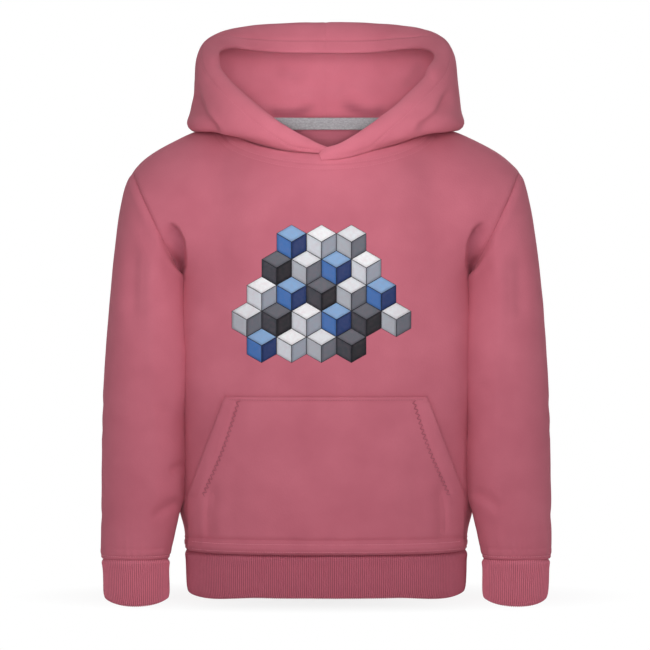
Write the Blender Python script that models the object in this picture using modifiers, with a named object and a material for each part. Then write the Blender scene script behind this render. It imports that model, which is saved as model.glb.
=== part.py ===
"""Child's pullover hooded sweatshirt in the shape that it has on its wearer.

The front faces -Y, the wearer's left is +X and up is +Z. The origin is on the
wearer's centre line, level with the side neck points, where the shoulders carry it.
Every cut piece of cloth is a closed solid of its own, seated on its neighbours
along the sewn seams.
"""

import math

import bmesh
import bpy
from mathutils import Vector
from mathutils.bvhtree import BVHTree
from mathutils.interpolate import poly_3d_calc

# Driving dimensions, in metres.
CHEST_WIDTH = 0.314
CHEST_DEPTH = 0.194
BODY_LENGTH = 0.516
WAISTBAND_HEIGHT = 0.047
WAISTBAND_CORNER_LIFT = 0.006

SHOULDER_OVERHANG = 0.059
SHOULDER_DROP = 0.054
ARMHOLE_DROP = 0.168
ARMHOLE_DEPTH = 0.120
UNDERARM_DIP = 0.016

SLEEVE_DROP = 0.528
SLEEVE_END_WIDTH = 0.0750
SLEEVE_END_DEPTH = 0.056
SLEEVE_STANDOFF = 0.013
SLEEVE_FORWARD = 0.034
CUFF_HEIGHT = 0.051
CUFF_CORNER_LIFT = 0.009

NECK_WIDTH = 0.214
NECK_DEPTH = 0.148
NECK_FRONT_DROP = 0.042
NECK_BACK_RISE = 0.005

HOOD_HEIGHT = 0.119
HOOD_DRAPE = 0.049
HOOD_LAP = 0.007
HOOD_LAP_RUN = 0.050
HOOD_LAP_CLEARANCE = 0.0045

POCKET_SIDE_INSET = 0.009
POCKET_SLANT_RUN = 0.037
POCKET_HEIGHT = 0.169
POCKET_SLANT_HEIGHT = 0.109
POCKET_SLACK = 0.002

TAPE_WIDTH = 0.150
TAPE_HEIGHT = 0.013

# Cloth thicknesses and the clearances between pieces.
FLEECE = 0.003
RIB = 0.005
HOOD_LAYER = 0.0025
TAPE_THICKNESS = 0.0010
SEAM_GAP = 0.0003
LAYING_GAP = 0.0006

# Section of the torso: 1 is an ellipse and 0 is a rectangle.
ROUNDNESS_SHARE = 0.833

# Control points: a quarter of a torso section, a sleeve section and the yoke's rows.
QUARTER_COLUMNS = 6
NECK_COLUMNS = 3
SLEEVE_COLUMNS = 10
YOKE_ROWS = 5
SUBDIVISION_LEVELS = 1
POCKET_SLANT_ROWS = 4
POCKET_SIDE_ROWS = 3
POCKET_COLUMNS = 36
TAPE_ROWS = 2
TAPE_COLUMNS = 12

# Body, hem seam up to the underarm: height share, width share, depth share.
BODY_SHARES = (
    (0.00, 0.983, 0.955),
    (0.03, 0.986, 0.959),
    (0.20, 1.000, 0.975),
    (0.45, 1.010, 0.985),
    (0.70, 1.010, 1.000),
    (0.88, 1.003, 1.005),
)

# Waistband, hem seam down to its fold: drop share, width share, depth share.
WAISTBAND_SHARES = (
    (0.00, 0.983, 0.955),
    (0.18, 0.975, 0.945),
    (0.50, 0.975, 0.940),
    (0.86, 0.975, 0.935),
    (1.00, 0.960, 0.915),
)

# Shoulder seam, side neck point to shoulder point: run share, fall share.
SHOULDER_SHARES = ((0.00, 0.00), (0.36, 0.10), (0.74, 0.39), (1.00, 1.00))

# Sleeve, armhole to cuff seam: fall of the inner side, fall of the outer side,
# run of the inner side, run of the outer side, closing of the depth, forward swing.
SLEEVE_SHARES = (
    (0.05, 0.08, 0.25, 0.30, 0.02, 0.14),
    (0.14, 0.20, 0.28, 0.50, 0.12, 0.36),
    (0.30, 0.38, 0.06, 0.76, 0.32, 0.66),
    (0.50, 0.56, -0.05, 0.94, 0.52, 0.86),
    (0.70, 0.74, -0.10, 0.99, 0.72, 0.96),
    (0.88, 0.89, 0.30, 1.00, 0.90, 1.00),
    (0.97, 0.975, 0.90, 1.00, 0.98, 1.00),
    (1.00, 1.00, 1.00, 1.00, 1.00, 1.00),
)

# Cuff, sleeve seam down to its fold: drop share, width share, depth share.
CUFF_SHARES = (
    (0.00, 1.000, 1.000),
    (0.18, 0.970, 0.920),
    (0.50, 0.965, 0.880),
    (0.86, 0.960, 0.860),
    (1.00, 0.900, 0.800),
)

# Hood, neck seam to rim. A row has one pair for each control point of the neckline,
# front centre to back centre: how far out of the neckline it stands, as a share of
# the drape, and how far above it, as a share of the hood's height.
HOOD_SHARES = (
    ((0.02, 0.020), (0.08, 0.040), (0.18, 0.025), (0.26, 0.020), (0.24, 0.015),
     (0.20, 0.005), (0.20, 0.000)),
    ((0.04, 0.030), (0.14, 0.080), (0.58, 0.030), (0.92, -0.070), (0.90, -0.085),
     (0.80, -0.120), (0.76, -0.130)),
    ((0.06, 0.045), (0.18, 0.130), (0.76, 0.140), (0.98, 0.085), (1.06, 0.110),
     (1.04, 0.060), (1.02, 0.060)),
    ((0.06, 0.060), (0.20, 0.170), (0.74, 0.285), (0.84, 0.350), (1.00, 0.450),
     (0.98, 0.460), (0.96, 0.470)),
    ((0.06, 0.075), (0.16, 0.220), (0.60, 0.430), (0.86, 0.610), (0.94, 0.810),
     (0.70, 0.910), (0.62, 0.925)),
    ((0.04, 0.090), (0.10, 0.255), (0.28, 0.520), (0.60, 0.760), (0.44, 0.970),
     (0.10, 1.020), (0.00, 1.010)),
    ((0.00, 0.110), (0.02, 0.275), (0.04, 0.500), (0.16, 0.600), (-0.16, 0.680),
     (-0.32, 0.650), (-0.44, 0.645)),
)

FRONT, BACK, SLEEVE, CUFF, WAISTBAND, HOOD = range(6)

# Colours are linear; each finish is roughness and metallic.
FLEECE_COLOUR = (0.590, 0.152, 0.212, 1.0)
RIB_COLOUR = (0.480, 0.112, 0.165, 1.0)
TAPE_COLOUR = (0.380, 0.365, 0.375, 1.0)
CLOTH_ROUGHNESS = 0.92

half_chest = CHEST_WIDTH / 2
half_depth = CHEST_DEPTH / 2
hem_seam_z = WAISTBAND_HEIGHT - BODY_LENGTH
cuff_seam_z = CUFF_HEIGHT - SLEEVE_DROP
armpit = Vector((half_chest, 0, -ARMHOLE_DROP))
shoulder_point = Vector((half_chest + SHOULDER_OVERHANG, 0, -SHOULDER_DROP))


def swell(count):
    """How far a ring of this many control points lies outside the curve they make."""
    return 3 / (2 + math.cos(math.tau / count))


def mix(start, end, share):
    return start + (end - start) * share


def torso_ring(width_share, depth_share, z, side_lift=0.0, lift_power=8):
    """Half a torso section, front centre round the side seam to back centre."""
    count = 2 * QUARTER_COLUMNS
    grow = swell(2 * count)
    points = []
    for column in range(count + 1):
        angle = math.pi * column / count
        sine, cosine = math.sin(angle), math.cos(angle)
        across, along = abs(sine) ** ROUNDNESS_SHARE, abs(cosine) ** ROUNDNESS_SHARE
        x = half_chest * width_share * grow * across
        y = -half_depth * depth_share * grow * math.copysign(along, cosine)
        points.append(Vector((x, y, z + side_lift * sine**lift_power)))
    return points


def armhole_ring():
    """The armhole seam, armpit first, then its front, the shoulder point and its back."""
    grow = swell(SLEEVE_COLUMNS)
    points = []
    for column in range(SLEEVE_COLUMNS):
        angle = math.tau * column / SLEEVE_COLUMNS
        along = 0.5 - grow * math.cos(angle) / 2
        point = armpit.lerp(shoulder_point, along)
        point.y = -ARMHOLE_DEPTH / 2 * grow * math.sin(angle)
        points.append(point)
    return points


def neckline(facing):
    """The neck seam, centre to side neck point. facing is -1 for front and 1 for back."""
    grow = swell(4 * NECK_COLUMNS)
    rise = NECK_BACK_RISE if facing > 0 else -NECK_FRONT_DROP
    points = []
    for column in range(NECK_COLUMNS + 1):
        angle = math.pi / 2 * column / NECK_COLUMNS
        x = NECK_WIDTH / 2 * grow * math.sin(angle)
        y = facing * NECK_DEPTH / 2 * grow * math.cos(angle)
        points.append(Vector((x, y, rise * math.cos(angle))))
    return points


def shoulder_seam():
    """The shoulder seam, side neck point to shoulder point."""
    start, end = neckline(1)[-1], armhole_ring()[SLEEVE_COLUMNS // 2]
    return [
        Vector((mix(start.x, end.x, run), 0, mix(start.z, end.z, fall)))
        for run, fall in SHOULDER_SHARES
    ]


def yoke(facing, armpit_row):
    """Rows of the panel above the armpit, blended between its four edges."""
    top = neckline(facing)[:-1] + shoulder_seam()
    ring = armhole_ring()
    columns = len(top) - 1
    rows = []
    for row in range(YOKE_ROWS + 1):
        v = row / YOKE_ROWS
        edge = ring[row] if facing < 0 else ring[-row % SLEEVE_COLUMNS]
        lean = math.cos(math.pi / 2 * v**1.3)
        centre = armpit_row[0].lerp(top[0], v)
        centre.y = mix(top[0].y, armpit_row[0].y, lean)
        points = []
        for column in range(columns + 1):
            u = column / columns
            ruled = armpit_row[column].lerp(top[column], v) + centre.lerp(edge, u)
            corners = armpit_row[0].lerp(top[0], v).lerp(armpit_row[-1].lerp(top[-1], v), u)
            points.append(ruled - corners)
        rows.append(points)
    return rows


def body_rows():
    """Half of the front and half of the back, hem seam to neckline and shoulder seam."""
    underarm_z = -ARMHOLE_DROP - UNDERARM_DIP
    rings = [
        torso_ring(width, depth, mix(hem_seam_z, underarm_z, height))
        for height, width, depth in BODY_SHARES
    ]
    rings.append(torso_ring(1, 1, underarm_z, UNDERARM_DIP, 24))
    rings[-1][QUARTER_COLUMNS] = armhole_ring()[0]
    front = [ring[: QUARTER_COLUMNS + 1] for ring in rings]
    back = [ring[: QUARTER_COLUMNS - 1 : -1] for ring in rings]
    front += yoke(-1, front[-1])[1:]
    back += yoke(1, back[-1])[1:]
    return front, back


def waistband_rows():
    return [
        torso_ring(
            width, depth, hem_seam_z - WAISTBAND_HEIGHT * drop, WAISTBAND_CORNER_LIFT * drop**3
        )
        for drop, width, depth in WAISTBAND_SHARES
    ]


def sleeve_ring(inner, outer, depth, forward, corner_lift=0.0):
    """A closed sleeve section between its inner and outer points, inner point first."""
    grow = swell(SLEEVE_COLUMNS)
    points = []
    for column in range(SLEEVE_COLUMNS + 1):
        angle = math.tau * column / SLEEVE_COLUMNS
        point = inner.lerp(outer, 0.5 - grow * math.cos(angle) / 2)
        point.y = -forward - depth / 2 * grow * math.sin(angle)
        point.z += corner_lift * math.cos(angle) ** 4
        points.append(point)
    return points


def sleeve_rows():
    cuff_inner = half_chest + SLEEVE_STANDOFF
    cuff_outer = cuff_inner + SLEEVE_END_WIDTH
    ring = armhole_ring()
    rows = [ring + ring[:1]]
    for inner_fall, outer_fall, inner_run, outer_run, closing, swing in SLEEVE_SHARES:
        inner = Vector((mix(armpit.x, cuff_inner, inner_run), 0, 0))
        inner.z = mix(armpit.z, cuff_seam_z, inner_fall)
        outer = Vector((mix(shoulder_point.x, cuff_outer, outer_run), 0, 0))
        outer.z = mix(shoulder_point.z, cuff_seam_z, outer_fall)
        depth = mix(ARMHOLE_DEPTH, SLEEVE_END_DEPTH, closing)
        rows.append(sleeve_ring(inner, outer, depth, SLEEVE_FORWARD * swing))
    return rows


def cuff_rows():
    middle = half_chest + SLEEVE_STANDOFF + SLEEVE_END_WIDTH / 2
    rows = []
    for drop, width, depth in CUFF_SHARES:
        half = SLEEVE_END_WIDTH * width / 2
        z = cuff_seam_z - CUFF_HEIGHT * drop
        inner, outer = Vector((middle - half, 0, z)), Vector((middle + half, 0, z))
        lift = CUFF_CORNER_LIFT * drop**3
        rows.append(sleeve_ring(inner, outer, SLEEVE_END_DEPTH * depth, SLEEVE_FORWARD, lift))
    return rows


def hood_rows():
    """Half of the hood, neck seam to rim, each row from the front centre to the back."""
    base = neckline(-1) + neckline(1)[-2::-1]
    rows = [base]
    for pairs in HOOD_SHARES:
        points = []
        for foot, (stand, rise) in zip(base, pairs):
            outward = Vector((foot.x / NECK_WIDTH**2, foot.y / NECK_DEPTH**2, 0)).normalized()
            point = foot + outward * HOOD_DRAPE * stand
            point.z += HOOD_HEIGHT * rise
            points.append(point)
        rows.append(points)
    return rows


def add_patch(bm, rows, label, side):
    """Quads between rows of points, on the wearer's left (side 1) or right (side -1)."""
    verts = [[bm.verts.new((side * p.x, p.y, p.z)) for p in row] for row in rows]
    for lower, upper in zip(verts, verts[1:]):
        for column in range(len(lower) - 1):
            corners = (lower[column], lower[column + 1], upper[column + 1], upper[column])
            bm.faces.new(corners).material_index = label


def garment_surface():
    """The whole outer surface as one smooth mesh; material_index says which panel."""
    front, back = body_rows()
    patches = (
        (front, FRONT),
        (back, BACK),
        (sleeve_rows(), SLEEVE),
        (cuff_rows(), CUFF),
        (waistband_rows(), WAISTBAND),
        (hood_rows(), HOOD),
    )
    bm = bmesh.new()
    for rows, label in patches:
        for side in (1, -1):
            add_patch(bm, rows, label, side)
    bmesh.ops.remove_doubles(bm, verts=bm.verts, dist=SEAM_GAP / 3)
    bmesh.ops.recalc_face_normals(bm, faces=bm.faces)
    neck_seam = []
    for edge in bm.edges:
        labels = {face.material_index for face in edge.link_faces}
        if HOOD in labels and len(labels) > 1:
            neck_seam.append(edge)
    bmesh.ops.split_edges(bm, edges=neck_seam)
    mesh = bpy.data.meshes.new("garment_cage")
    bm.to_mesh(mesh)
    bm.free()
    cage = bpy.data.objects.new("garment_cage", mesh)
    bpy.context.scene.collection.objects.link(cage)
    smooth = cage.modifiers.new("Smooth", "SUBSURF")
    smooth.levels = smooth.render_levels = SUBDIVISION_LEVELS
    graph = bpy.context.evaluated_depsgraph_get()
    surface = bpy.data.meshes.new_from_object(cage.evaluated_get(graph))
    bpy.data.objects.remove(cage)
    bm = bmesh.new()
    bm.from_mesh(surface)
    bmesh.ops.triangulate(bm, faces=bm.faces)
    bm.to_mesh(surface)
    bm.free()
    return surface


def cloth_material(name, colour):
    material = bpy.data.materials.new(name)
    material.use_nodes = True
    shader = material.node_tree.nodes["Principled BSDF"]
    shader.inputs["Base Color"].default_value = colour
    shader.inputs["Roughness"].default_value = CLOTH_ROUGHNESS
    shader.inputs["Metallic"].default_value = 0.0
    return material


def new_piece(name, bm, material, collection):
    bmesh.ops.recalc_face_normals(bm, faces=bm.faces)
    mesh = bpy.data.meshes.new(name)
    bm.to_mesh(mesh)
    bm.free()
    mesh.materials.append(material)
    mesh.polygons.foreach_set("material_index", [0] * len(mesh.polygons))
    mesh.shade_smooth()
    piece = bpy.data.objects.new(name, mesh)
    collection.objects.link(piece)
    return piece


def thicken(bm, below):
    """Closes an open sheet into a solid. below says how far each vertex's twin lies from it."""
    faces = list(bm.faces)
    rim = [edge for edge in bm.edges if len(edge.link_faces) == 1]
    twin = {vert: bm.verts.new(vert.co + below[vert]) for vert in list(bm.verts)}
    for face in faces:
        bm.faces.new([twin[vert] for vert in reversed(face.verts)])
    for edge in rim:
        low, high = sorted(edge.verts, key=lambda vert: vert.co.y + vert.co.z)
        bm.faces.new((low, high, twin[high]))
        bm.faces.new((low, twin[high], twin[low]))


def lap(place, side):
    """How far the hood's front end moves at a place, so that the left laps the right."""
    if place.y > 0:
        return Vector()
    nearness = max(0.0, 1 - abs(place.x) / HOOD_LAP_RUN)
    if side < 0:
        return Vector((HOOD_LAP * nearness**2 / 2, 0, 0))
    clear = 2 * HOOD_LAYER + HOOD_LAP_CLEARANCE
    return Vector((-HOOD_LAP * nearness**2, -clear * nearness, 0))


def cut_panel(surface, label, side, depth, thickness):
    """One panel's sheet as a solid, depth below the outer surface, clear of its neighbours."""
    bm = bmesh.new()
    copies, normals = {}, {}
    for face in surface.polygons:
        if face.material_index != label or face.center.x * side < 0:
            continue
        for corner in face.vertices:
            if corner not in copies:
                copies[corner] = bm.verts.new(surface.vertices[corner].co)
                normals[copies[corner]] = surface.vertices[corner].normal.copy()
        bm.faces.new([copies[corner] for corner in face.vertices])
    inward = {vert: Vector() for vert in bm.verts}
    for edge in bm.edges:
        if edge.is_boundary:
            loop = edge.link_loops[0]
            along = loop.link_loop_next.vert.co - loop.vert.co
            for vert in edge.verts:
                inward[vert] += normals[vert].cross(along).normalized()
    for vert in bm.verts:
        shift = lap(vert.co, side) if label == HOOD else Vector()
        vert.co += shift + inward[vert].normalized() * SEAM_GAP / 2 - normals[vert] * depth
    thicken(bm, {vert: -normals[vert] * thickness for vert in bm.verts})
    return bm


def sheet_on(rows, below):
    """A solid from a grid of points and, for each, the offset of its other face."""
    bm = bmesh.new()
    verts = [[bm.verts.new(point) for point in row] for row in rows]
    offsets = {}
    for vert_row, below_row in zip(verts, below):
        offsets.update(zip(vert_row, below_row))
    for lower, upper in zip(verts, verts[1:]):
        for column in range(len(lower) - 1):
            bm.faces.new((lower[column], lower[column + 1], upper[column + 1], upper[column]))
    thicken(bm, offsets)
    return bm


def caster(surface, label):
    """A function that finds where a ray along +Y meets a panel, and its normal there."""
    faces = [face for face in surface.polygons if face.material_index == label]
    places = [vert.co for vert in surface.vertices]
    tree = BVHTree.FromPolygons(places, [tuple(face.vertices) for face in faces])

    def cast(x, y, z):
        place, _, index, _ = tree.ray_cast(Vector((x, y, z)), Vector((0, 1, 0)))
        corners = [surface.vertices[corner] for corner in faces[index].vertices]
        weights = poly_3d_calc([corner.co for corner in corners], place)
        normal = Vector()
        for corner, weight in zip(corners, weights):
            normal += corner.normal * weight
        return place, normal.normalized()

    return cast


def pocket(surface):
    """Kangaroo pocket: sewn along its top, hem and lower sides, open along its slants."""
    cast = caster(surface, FRONT)
    bottom_z = hem_seam_z + 3 * LAYING_GAP
    top_z = hem_seam_z + POCKET_HEIGHT
    slant_end_z = top_z - POCKET_SLANT_HEIGHT
    levels = []
    for row in range(POCKET_SLANT_ROWS):
        share = row / POCKET_SLANT_ROWS
        levels.append((mix(top_z, slant_end_z, share), POCKET_SLANT_RUN * (1 - share)))
    for row in range(POCKET_SIDE_ROWS + 1):
        levels.append((mix(slant_end_z, bottom_z, row / POCKET_SIDE_ROWS), 0))
    rows, below = [], []
    for z, narrowing in levels:
        half = half_chest - POCKET_SIDE_INSET - narrowing
        height = (z - bottom_z) / (top_z - bottom_z)
        points, offsets = [], []
        for column in range(POCKET_COLUMNS + 1):
            across = -math.cos(math.pi * column / POCKET_COLUMNS)
            place, normal = cast(half * across, -CHEST_DEPTH, z)
            slack = POCKET_SLACK * math.sin(math.pi * height) * (1 - across**6)
            points.append(place + normal * (LAYING_GAP + slack))
            offsets.append(normal * FLEECE)
        rows.append(points)
        below.append(offsets)
    return sheet_on(rows, below)


def neck_tape(surface):
    """Tape over the back neck seam, on the inside of the back."""
    cast = caster(surface, BACK)
    rows, below = [], []
    for row in range(TAPE_ROWS + 1):
        points, offsets = [], []
        for column in range(TAPE_COLUMNS + 1):
            x = TAPE_WIDTH * (column / TAPE_COLUMNS - 0.5)
            rise = NECK_BACK_RISE * math.sqrt(1 - (2 * x / NECK_WIDTH) ** 2)
            place, normal = cast(x, 0, rise - FLEECE - TAPE_HEIGHT * row / TAPE_ROWS)
            points.append(place - normal * (FLEECE + LAYING_GAP))
            offsets.append(-normal * TAPE_THICKNESS)
        rows.append(points)
        below.append(offsets)
    return sheet_on(rows, below)


def main():
    for obj in list(bpy.data.objects):
        bpy.data.objects.remove(obj)
    collection = bpy.data.collections.new("hooded_sweatshirt")
    bpy.context.scene.collection.children.link(collection)
    fleece = cloth_material("fleece", FLEECE_COLOUR)
    rib = cloth_material("rib_knit", RIB_COLOUR)
    tape = cloth_material("neck_tape", TAPE_COLOUR)
    surface = garment_surface()
    lining_depth = HOOD_LAYER + SEAM_GAP

    # Columns: name, panel label, side, depth below the surface, thickness, material.
    panels = (
        ("front_panel", FRONT, 0, 0, FLEECE, fleece),
        ("back_panel", BACK, 0, 0, FLEECE, fleece),
        ("sleeve_left", SLEEVE, 1, 0, FLEECE, fleece),
        ("sleeve_right", SLEEVE, -1, 0, FLEECE, fleece),
        ("cuff_left", CUFF, 1, 0, RIB, rib),
        ("cuff_right", CUFF, -1, 0, RIB, rib),
        ("waistband", WAISTBAND, 0, 0, RIB, rib),
        ("hood_shell_left", HOOD, 1, 0, HOOD_LAYER, fleece),
        ("hood_shell_right", HOOD, -1, 0, HOOD_LAYER, fleece),
        ("hood_lining_left", HOOD, 1, lining_depth, HOOD_LAYER, fleece),
        ("hood_lining_right", HOOD, -1, lining_depth, HOOD_LAYER, fleece),
    )
    for name, label, side, depth, thickness, material in panels:
        solid = cut_panel(surface, label, side, depth, thickness)
        new_piece(name, solid, material, collection)
    new_piece("kangaroo_pocket", pocket(surface), fleece, collection)
    new_piece("neck_tape", neck_tape(surface), tape, collection)
    bpy.data.meshes.remove(surface)


main()
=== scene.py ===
"""Looks of a child's hooded sweatshirt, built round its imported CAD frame.

The front faces -Y, the wearer's left is +X and up is +Z, all in metres. Each piece of cloth
stands for the CAD node of like name, and its shape comes from the same control points.
"""

import math

import bmesh
import bpy
import numpy as np
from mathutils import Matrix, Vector
from mathutils.bvhtree import BVHTree
from mathutils.kdtree import KDTree


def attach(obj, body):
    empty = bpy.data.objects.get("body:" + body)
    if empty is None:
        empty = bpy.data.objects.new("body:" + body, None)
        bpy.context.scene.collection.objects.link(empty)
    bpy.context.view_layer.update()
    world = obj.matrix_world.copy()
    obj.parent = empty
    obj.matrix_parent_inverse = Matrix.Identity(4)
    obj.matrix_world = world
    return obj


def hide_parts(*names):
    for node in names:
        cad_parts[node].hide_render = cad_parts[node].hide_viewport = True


# Sizes of the garment, as in the CAD source.
CHEST_WIDTH = 0.314
CHEST_DEPTH = 0.194
BODY_LENGTH = 0.516
WAISTBAND_HEIGHT = 0.047
WAISTBAND_CORNER_LIFT = 0.006
SHOULDER_OVERHANG = 0.059
SHOULDER_DROP = 0.054
ARMHOLE_DROP = 0.168
ARMHOLE_DEPTH = 0.120
UNDERARM_DIP = 0.016
SLEEVE_DROP = 0.528
SLEEVE_END_WIDTH = 0.0750
SLEEVE_END_DEPTH = 0.056
SLEEVE_STANDOFF = 0.013
SLEEVE_FORWARD = 0.034
CUFF_HEIGHT = 0.051
CUFF_CORNER_LIFT = 0.009
NECK_WIDTH = 0.214
NECK_DEPTH = 0.148
NECK_FRONT_DROP = 0.042
NECK_BACK_RISE = 0.005
HOOD_HEIGHT = 0.119
HOOD_DRAPE = 0.049
POCKET_SIDE_INSET = 0.009
POCKET_SLANT_RUN = 0.037
POCKET_HEIGHT = 0.169
POCKET_SLANT_HEIGHT = 0.109
TAPE_WIDTH = 0.150
TAPE_HEIGHT = 0.0135
ROUNDNESS_SHARE = 0.833

# Cloth thicknesses.
FLEECE = 0.003
RIB = 0.005
HOOD_LAYER = 0.0025
TAPE_THICKNESS = 0.001
SEAM_GAP = 0.0003

# Control points of the cage.
QUARTER_COLUMNS = 6
NECK_COLUMNS = 3
SLEEVE_COLUMNS = 10
YOKE_ROWS = 5
SURFACE_LEVELS = 4

# Body, hem seam up to the underarm: height share, width share, depth share.
BODY_SHARES = (
    (0.00, 0.983, 0.955),
    (0.03, 0.986, 0.959),
    (0.20, 1.000, 0.975),
    (0.45, 1.010, 0.985),
    (0.70, 1.010, 1.000),
    (0.88, 1.003, 1.005),
)
# Waistband, hem seam down to its fold: drop share, width share, depth share.
WAISTBAND_SHARES = (
    (0.00, 0.983, 0.955),
    (0.18, 0.975, 0.945),
    (0.50, 0.975, 0.940),
    (0.86, 0.975, 0.935),
    (1.00, 0.960, 0.915),
)
# Shoulder seam, side neck point to shoulder point: run share, fall share.
SHOULDER_SHARES = ((0.00, 0.00), (0.36, 0.10), (0.74, 0.39), (1.00, 1.00))
# Sleeve, armhole to cuff seam: fall of the inner side, fall of the outer side,
# run of the inner side, run of the outer side, closing of the depth, forward swing.
SLEEVE_SHARES = (
    (0.05, 0.08, 0.25, 0.30, 0.02, 0.14),
    (0.14, 0.20, 0.28, 0.50, 0.12, 0.36),
    (0.30, 0.38, 0.06, 0.76, 0.32, 0.66),
    (0.50, 0.56, -0.05, 0.94, 0.52, 0.86),
    (0.70, 0.74, -0.10, 0.99, 0.72, 0.96),
    (0.88, 0.89, 0.30, 1.00, 0.90, 1.00),
    (0.97, 0.975, 0.90, 1.00, 0.98, 1.00),
    (1.00, 1.00, 1.00, 1.00, 1.00, 1.00),
)
# Cuff, sleeve seam down to its fold: drop share, width share, depth share.
CUFF_SHARES = (
    (0.00, 1.000, 1.000),
    (0.18, 0.970, 0.920),
    (0.50, 0.965, 0.880),
    (0.86, 0.960, 0.860),
    (1.00, 0.900, 0.800),
)
# Hood, neck seam to rim, a row for each, front centre to back centre in it: how far out of
# the neckline it stands, as a share of the drape, and how far above it, of the height.
HOOD_SHARES = (
    ((0.02, 0.020), (0.08, 0.040), (0.18, 0.025), (0.26, 0.020), (0.24, 0.015),
     (0.20, 0.005), (0.20, 0.000)),
    ((0.04, 0.030), (0.14, 0.080), (0.58, 0.030), (0.92, -0.070), (0.90, -0.085),
     (0.80, -0.120), (0.76, -0.130)),
    ((0.06, 0.045), (0.18, 0.130), (0.76, 0.140), (0.98, 0.085), (1.06, 0.110),
     (1.04, 0.060), (1.02, 0.060)),
    ((0.06, 0.060), (0.20, 0.170), (0.74, 0.285), (0.84, 0.350), (1.00, 0.450),
     (0.98, 0.460), (0.96, 0.470)),
    ((0.06, 0.075), (0.16, 0.220), (0.60, 0.430), (0.86, 0.610), (0.94, 0.810),
     (0.70, 0.910), (0.62, 0.925)),
    ((0.04, 0.090), (0.10, 0.255), (0.28, 0.520), (0.60, 0.760), (0.44, 0.970),
     (0.10, 1.020), (0.00, 1.010)),
    ((0.00, 0.110), (0.02, 0.275), (0.04, 0.500), (0.16, 0.600), (-0.16, 0.680),
     (-0.32, 0.650), (-0.44, 0.645)),
)
FRONT, BACK, SLEEVE, CUFF, WAISTBAND = range(5)

# The photograph's view: level, from straight ahead, 650 pixels of 1.1 mm across.
CAMERA_DISTANCE = 3.0
EYE_X = -0.0011
EYE_Z = -0.2233
VIEW_WIDTH = 0.715
SENSOR_WIDTH = 36.0

# Ribs: their pitch, height and points across, how far the waistband sags at its sides, and how
# far the cuffs sit in and are shifted towards the body.
RIB_PITCH = 0.0023
RIB_RELIEF = 0.0012
RIB_SAMPLES = 6
RIB_LEVELS = 60
RIB_TOP_STATIONS = (0, 0.0010, 0.0022, 0.0038, 0.006)
WAISTBAND_SAG = 0.0045
CUFF_INSET = 0.0005
CUFF_SHIFT = 0.0018
TURN_STEPS = 9

# Stitches: rows, in millimetres from their seam, then pitches and threads, in metres.
HEM_STITCH_MM = (3.6, 11.6)
NECK_STITCH_MM = (10.8, 17.2)
STITCH_PITCH = 0.0028
TAPE_STITCH_PITCH = 0.0020
ZIGZAG_WIDTH = 0.0048
PLAIN_THREAD = 0.00028
HEM_THREAD = 0.00048
NECK_THREAD = 0.00026
ZIGZAG_THREAD = 0.0004
LEVEL_BINS = 720
STITCH_SIDES = 5
# Rings of one stitch; columns: share of its length, share of its radius, rise in radii.
STITCH_RINGS = ((0.0, 0.35, -0.5), (0.2, 0.9, 0.25), (0.8, 0.9, 0.25), (1.0, 0.35, -0.5))

# Hood: its hem and edge, the corners of its outline, its lapped front and its lining.
HOOD_HEM = 0.024
HOOD_HEM_LESS = 0.26
HOOD_EDGE_THICKNESS = 0.0055
HOOD_SHELL_SHARE = 0.48
HOOD_CORNER = (0.112, 0.064)
HOOD_CORNER_CUT = 0.009
HOOD_CORNER_REACH = 0.034
HOOD_TIP_OVER = 0.0062
HOOD_TIP_UNDER = 0.024
HOOD_TIP_COLUMNS = 0.9
HOOD_LAP_RUN = 0.060
HOOD_LAP_LIFT = 0.0064
HOOD_LAP_DROP = 0.0040
HOOD_COLUMNS = 140
HOOD_HEM_ROWS = 11
HOOD_BODY_ROWS = 44
LINING_GAP = 0.0002
LINING_BULGE = 0.0035
LINING_TAIL = 0.0055
# How much of its height the hood's front keeps; columns: run from the middle, share.
HOOD_TAPER_OVER = (
    (-0.0062, 0.03), (0.002, 0.46), (0.0145, 0.55), (0.028, 0.67),
    (0.045, 0.84), (0.062, 0.96), (0.085, 1.0),
)
HOOD_TAPER_UNDER = (
    (-0.024, 0.10), (-0.006, 0.30), (0.0, 0.47), (0.010, 0.645),
    (0.018, 0.80), (0.040, 0.97), (0.055, 1.0),
)

# Pocket and tape.
POCKET_ROWS = 78
POCKET_COLUMNS = 126
POCKET_MORE_RUN = 0.0038
POCKET_BOW = 0.0024
POCKET_DENT_OUTSET = 0.0012
POCKET_FOOT_MM = 1.8
POCKET_STANDOFF = 0.0005
POCKET_SLACK = 0.0018
POCKET_GAPE = 0.0030
POCKET_GAPE_REACH_MM = 16
POCKET_RIM_THICKNESS_SHARE = 0.22
POCKET_RIM_REACH_MM = 1.6
POCKET_TOP_STITCH = 0.0033
POCKET_EDGE_STITCH = 0.0158
TAPE_ROWS = 12
TAPE_COLUMNS = 90
TAPE_TOP = 0.0048
TAPE_STANDOFF = 0.0064
TAPE_STITCH_INSET = 0.0018

# Seams; columns in millimetres: depth of the groove, then height, place and reach of the roll.
ARMHOLE_ON_SLEEVE = (1.5, 1.5, 7.5, 5.5)
ARMHOLE_ON_BODY = (1.5, 0.35, 5.0, 4.0)
SIDE_SEAM = (1.1, 0.4, 4.5, 3.5)
UNDERARM_SEAM = (0.7, 0.3, 4.5, 3.5)
# Hems beside ribs; columns in millimetres: height, rise at the front and back, at the sides.
WAIST_HEM = (14.6, 1.3, 0.3)
CUFF_HEM = (11.0, 0.5, 0.1)
# The neck's rolled seam; columns in millimetres: height, start, end and blur of each roll.
NECK_ROLLS = ((1.5, 0.5, 10.5, 4.5), (0.45, 12.0, 16.5, 3.0))
NECK_STITCH_DEPTHS_MM = (0.8, 0.7)
STITCH_DEPTH_MM = 0.9
STITCH_REACH_MM = 1.2
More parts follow.
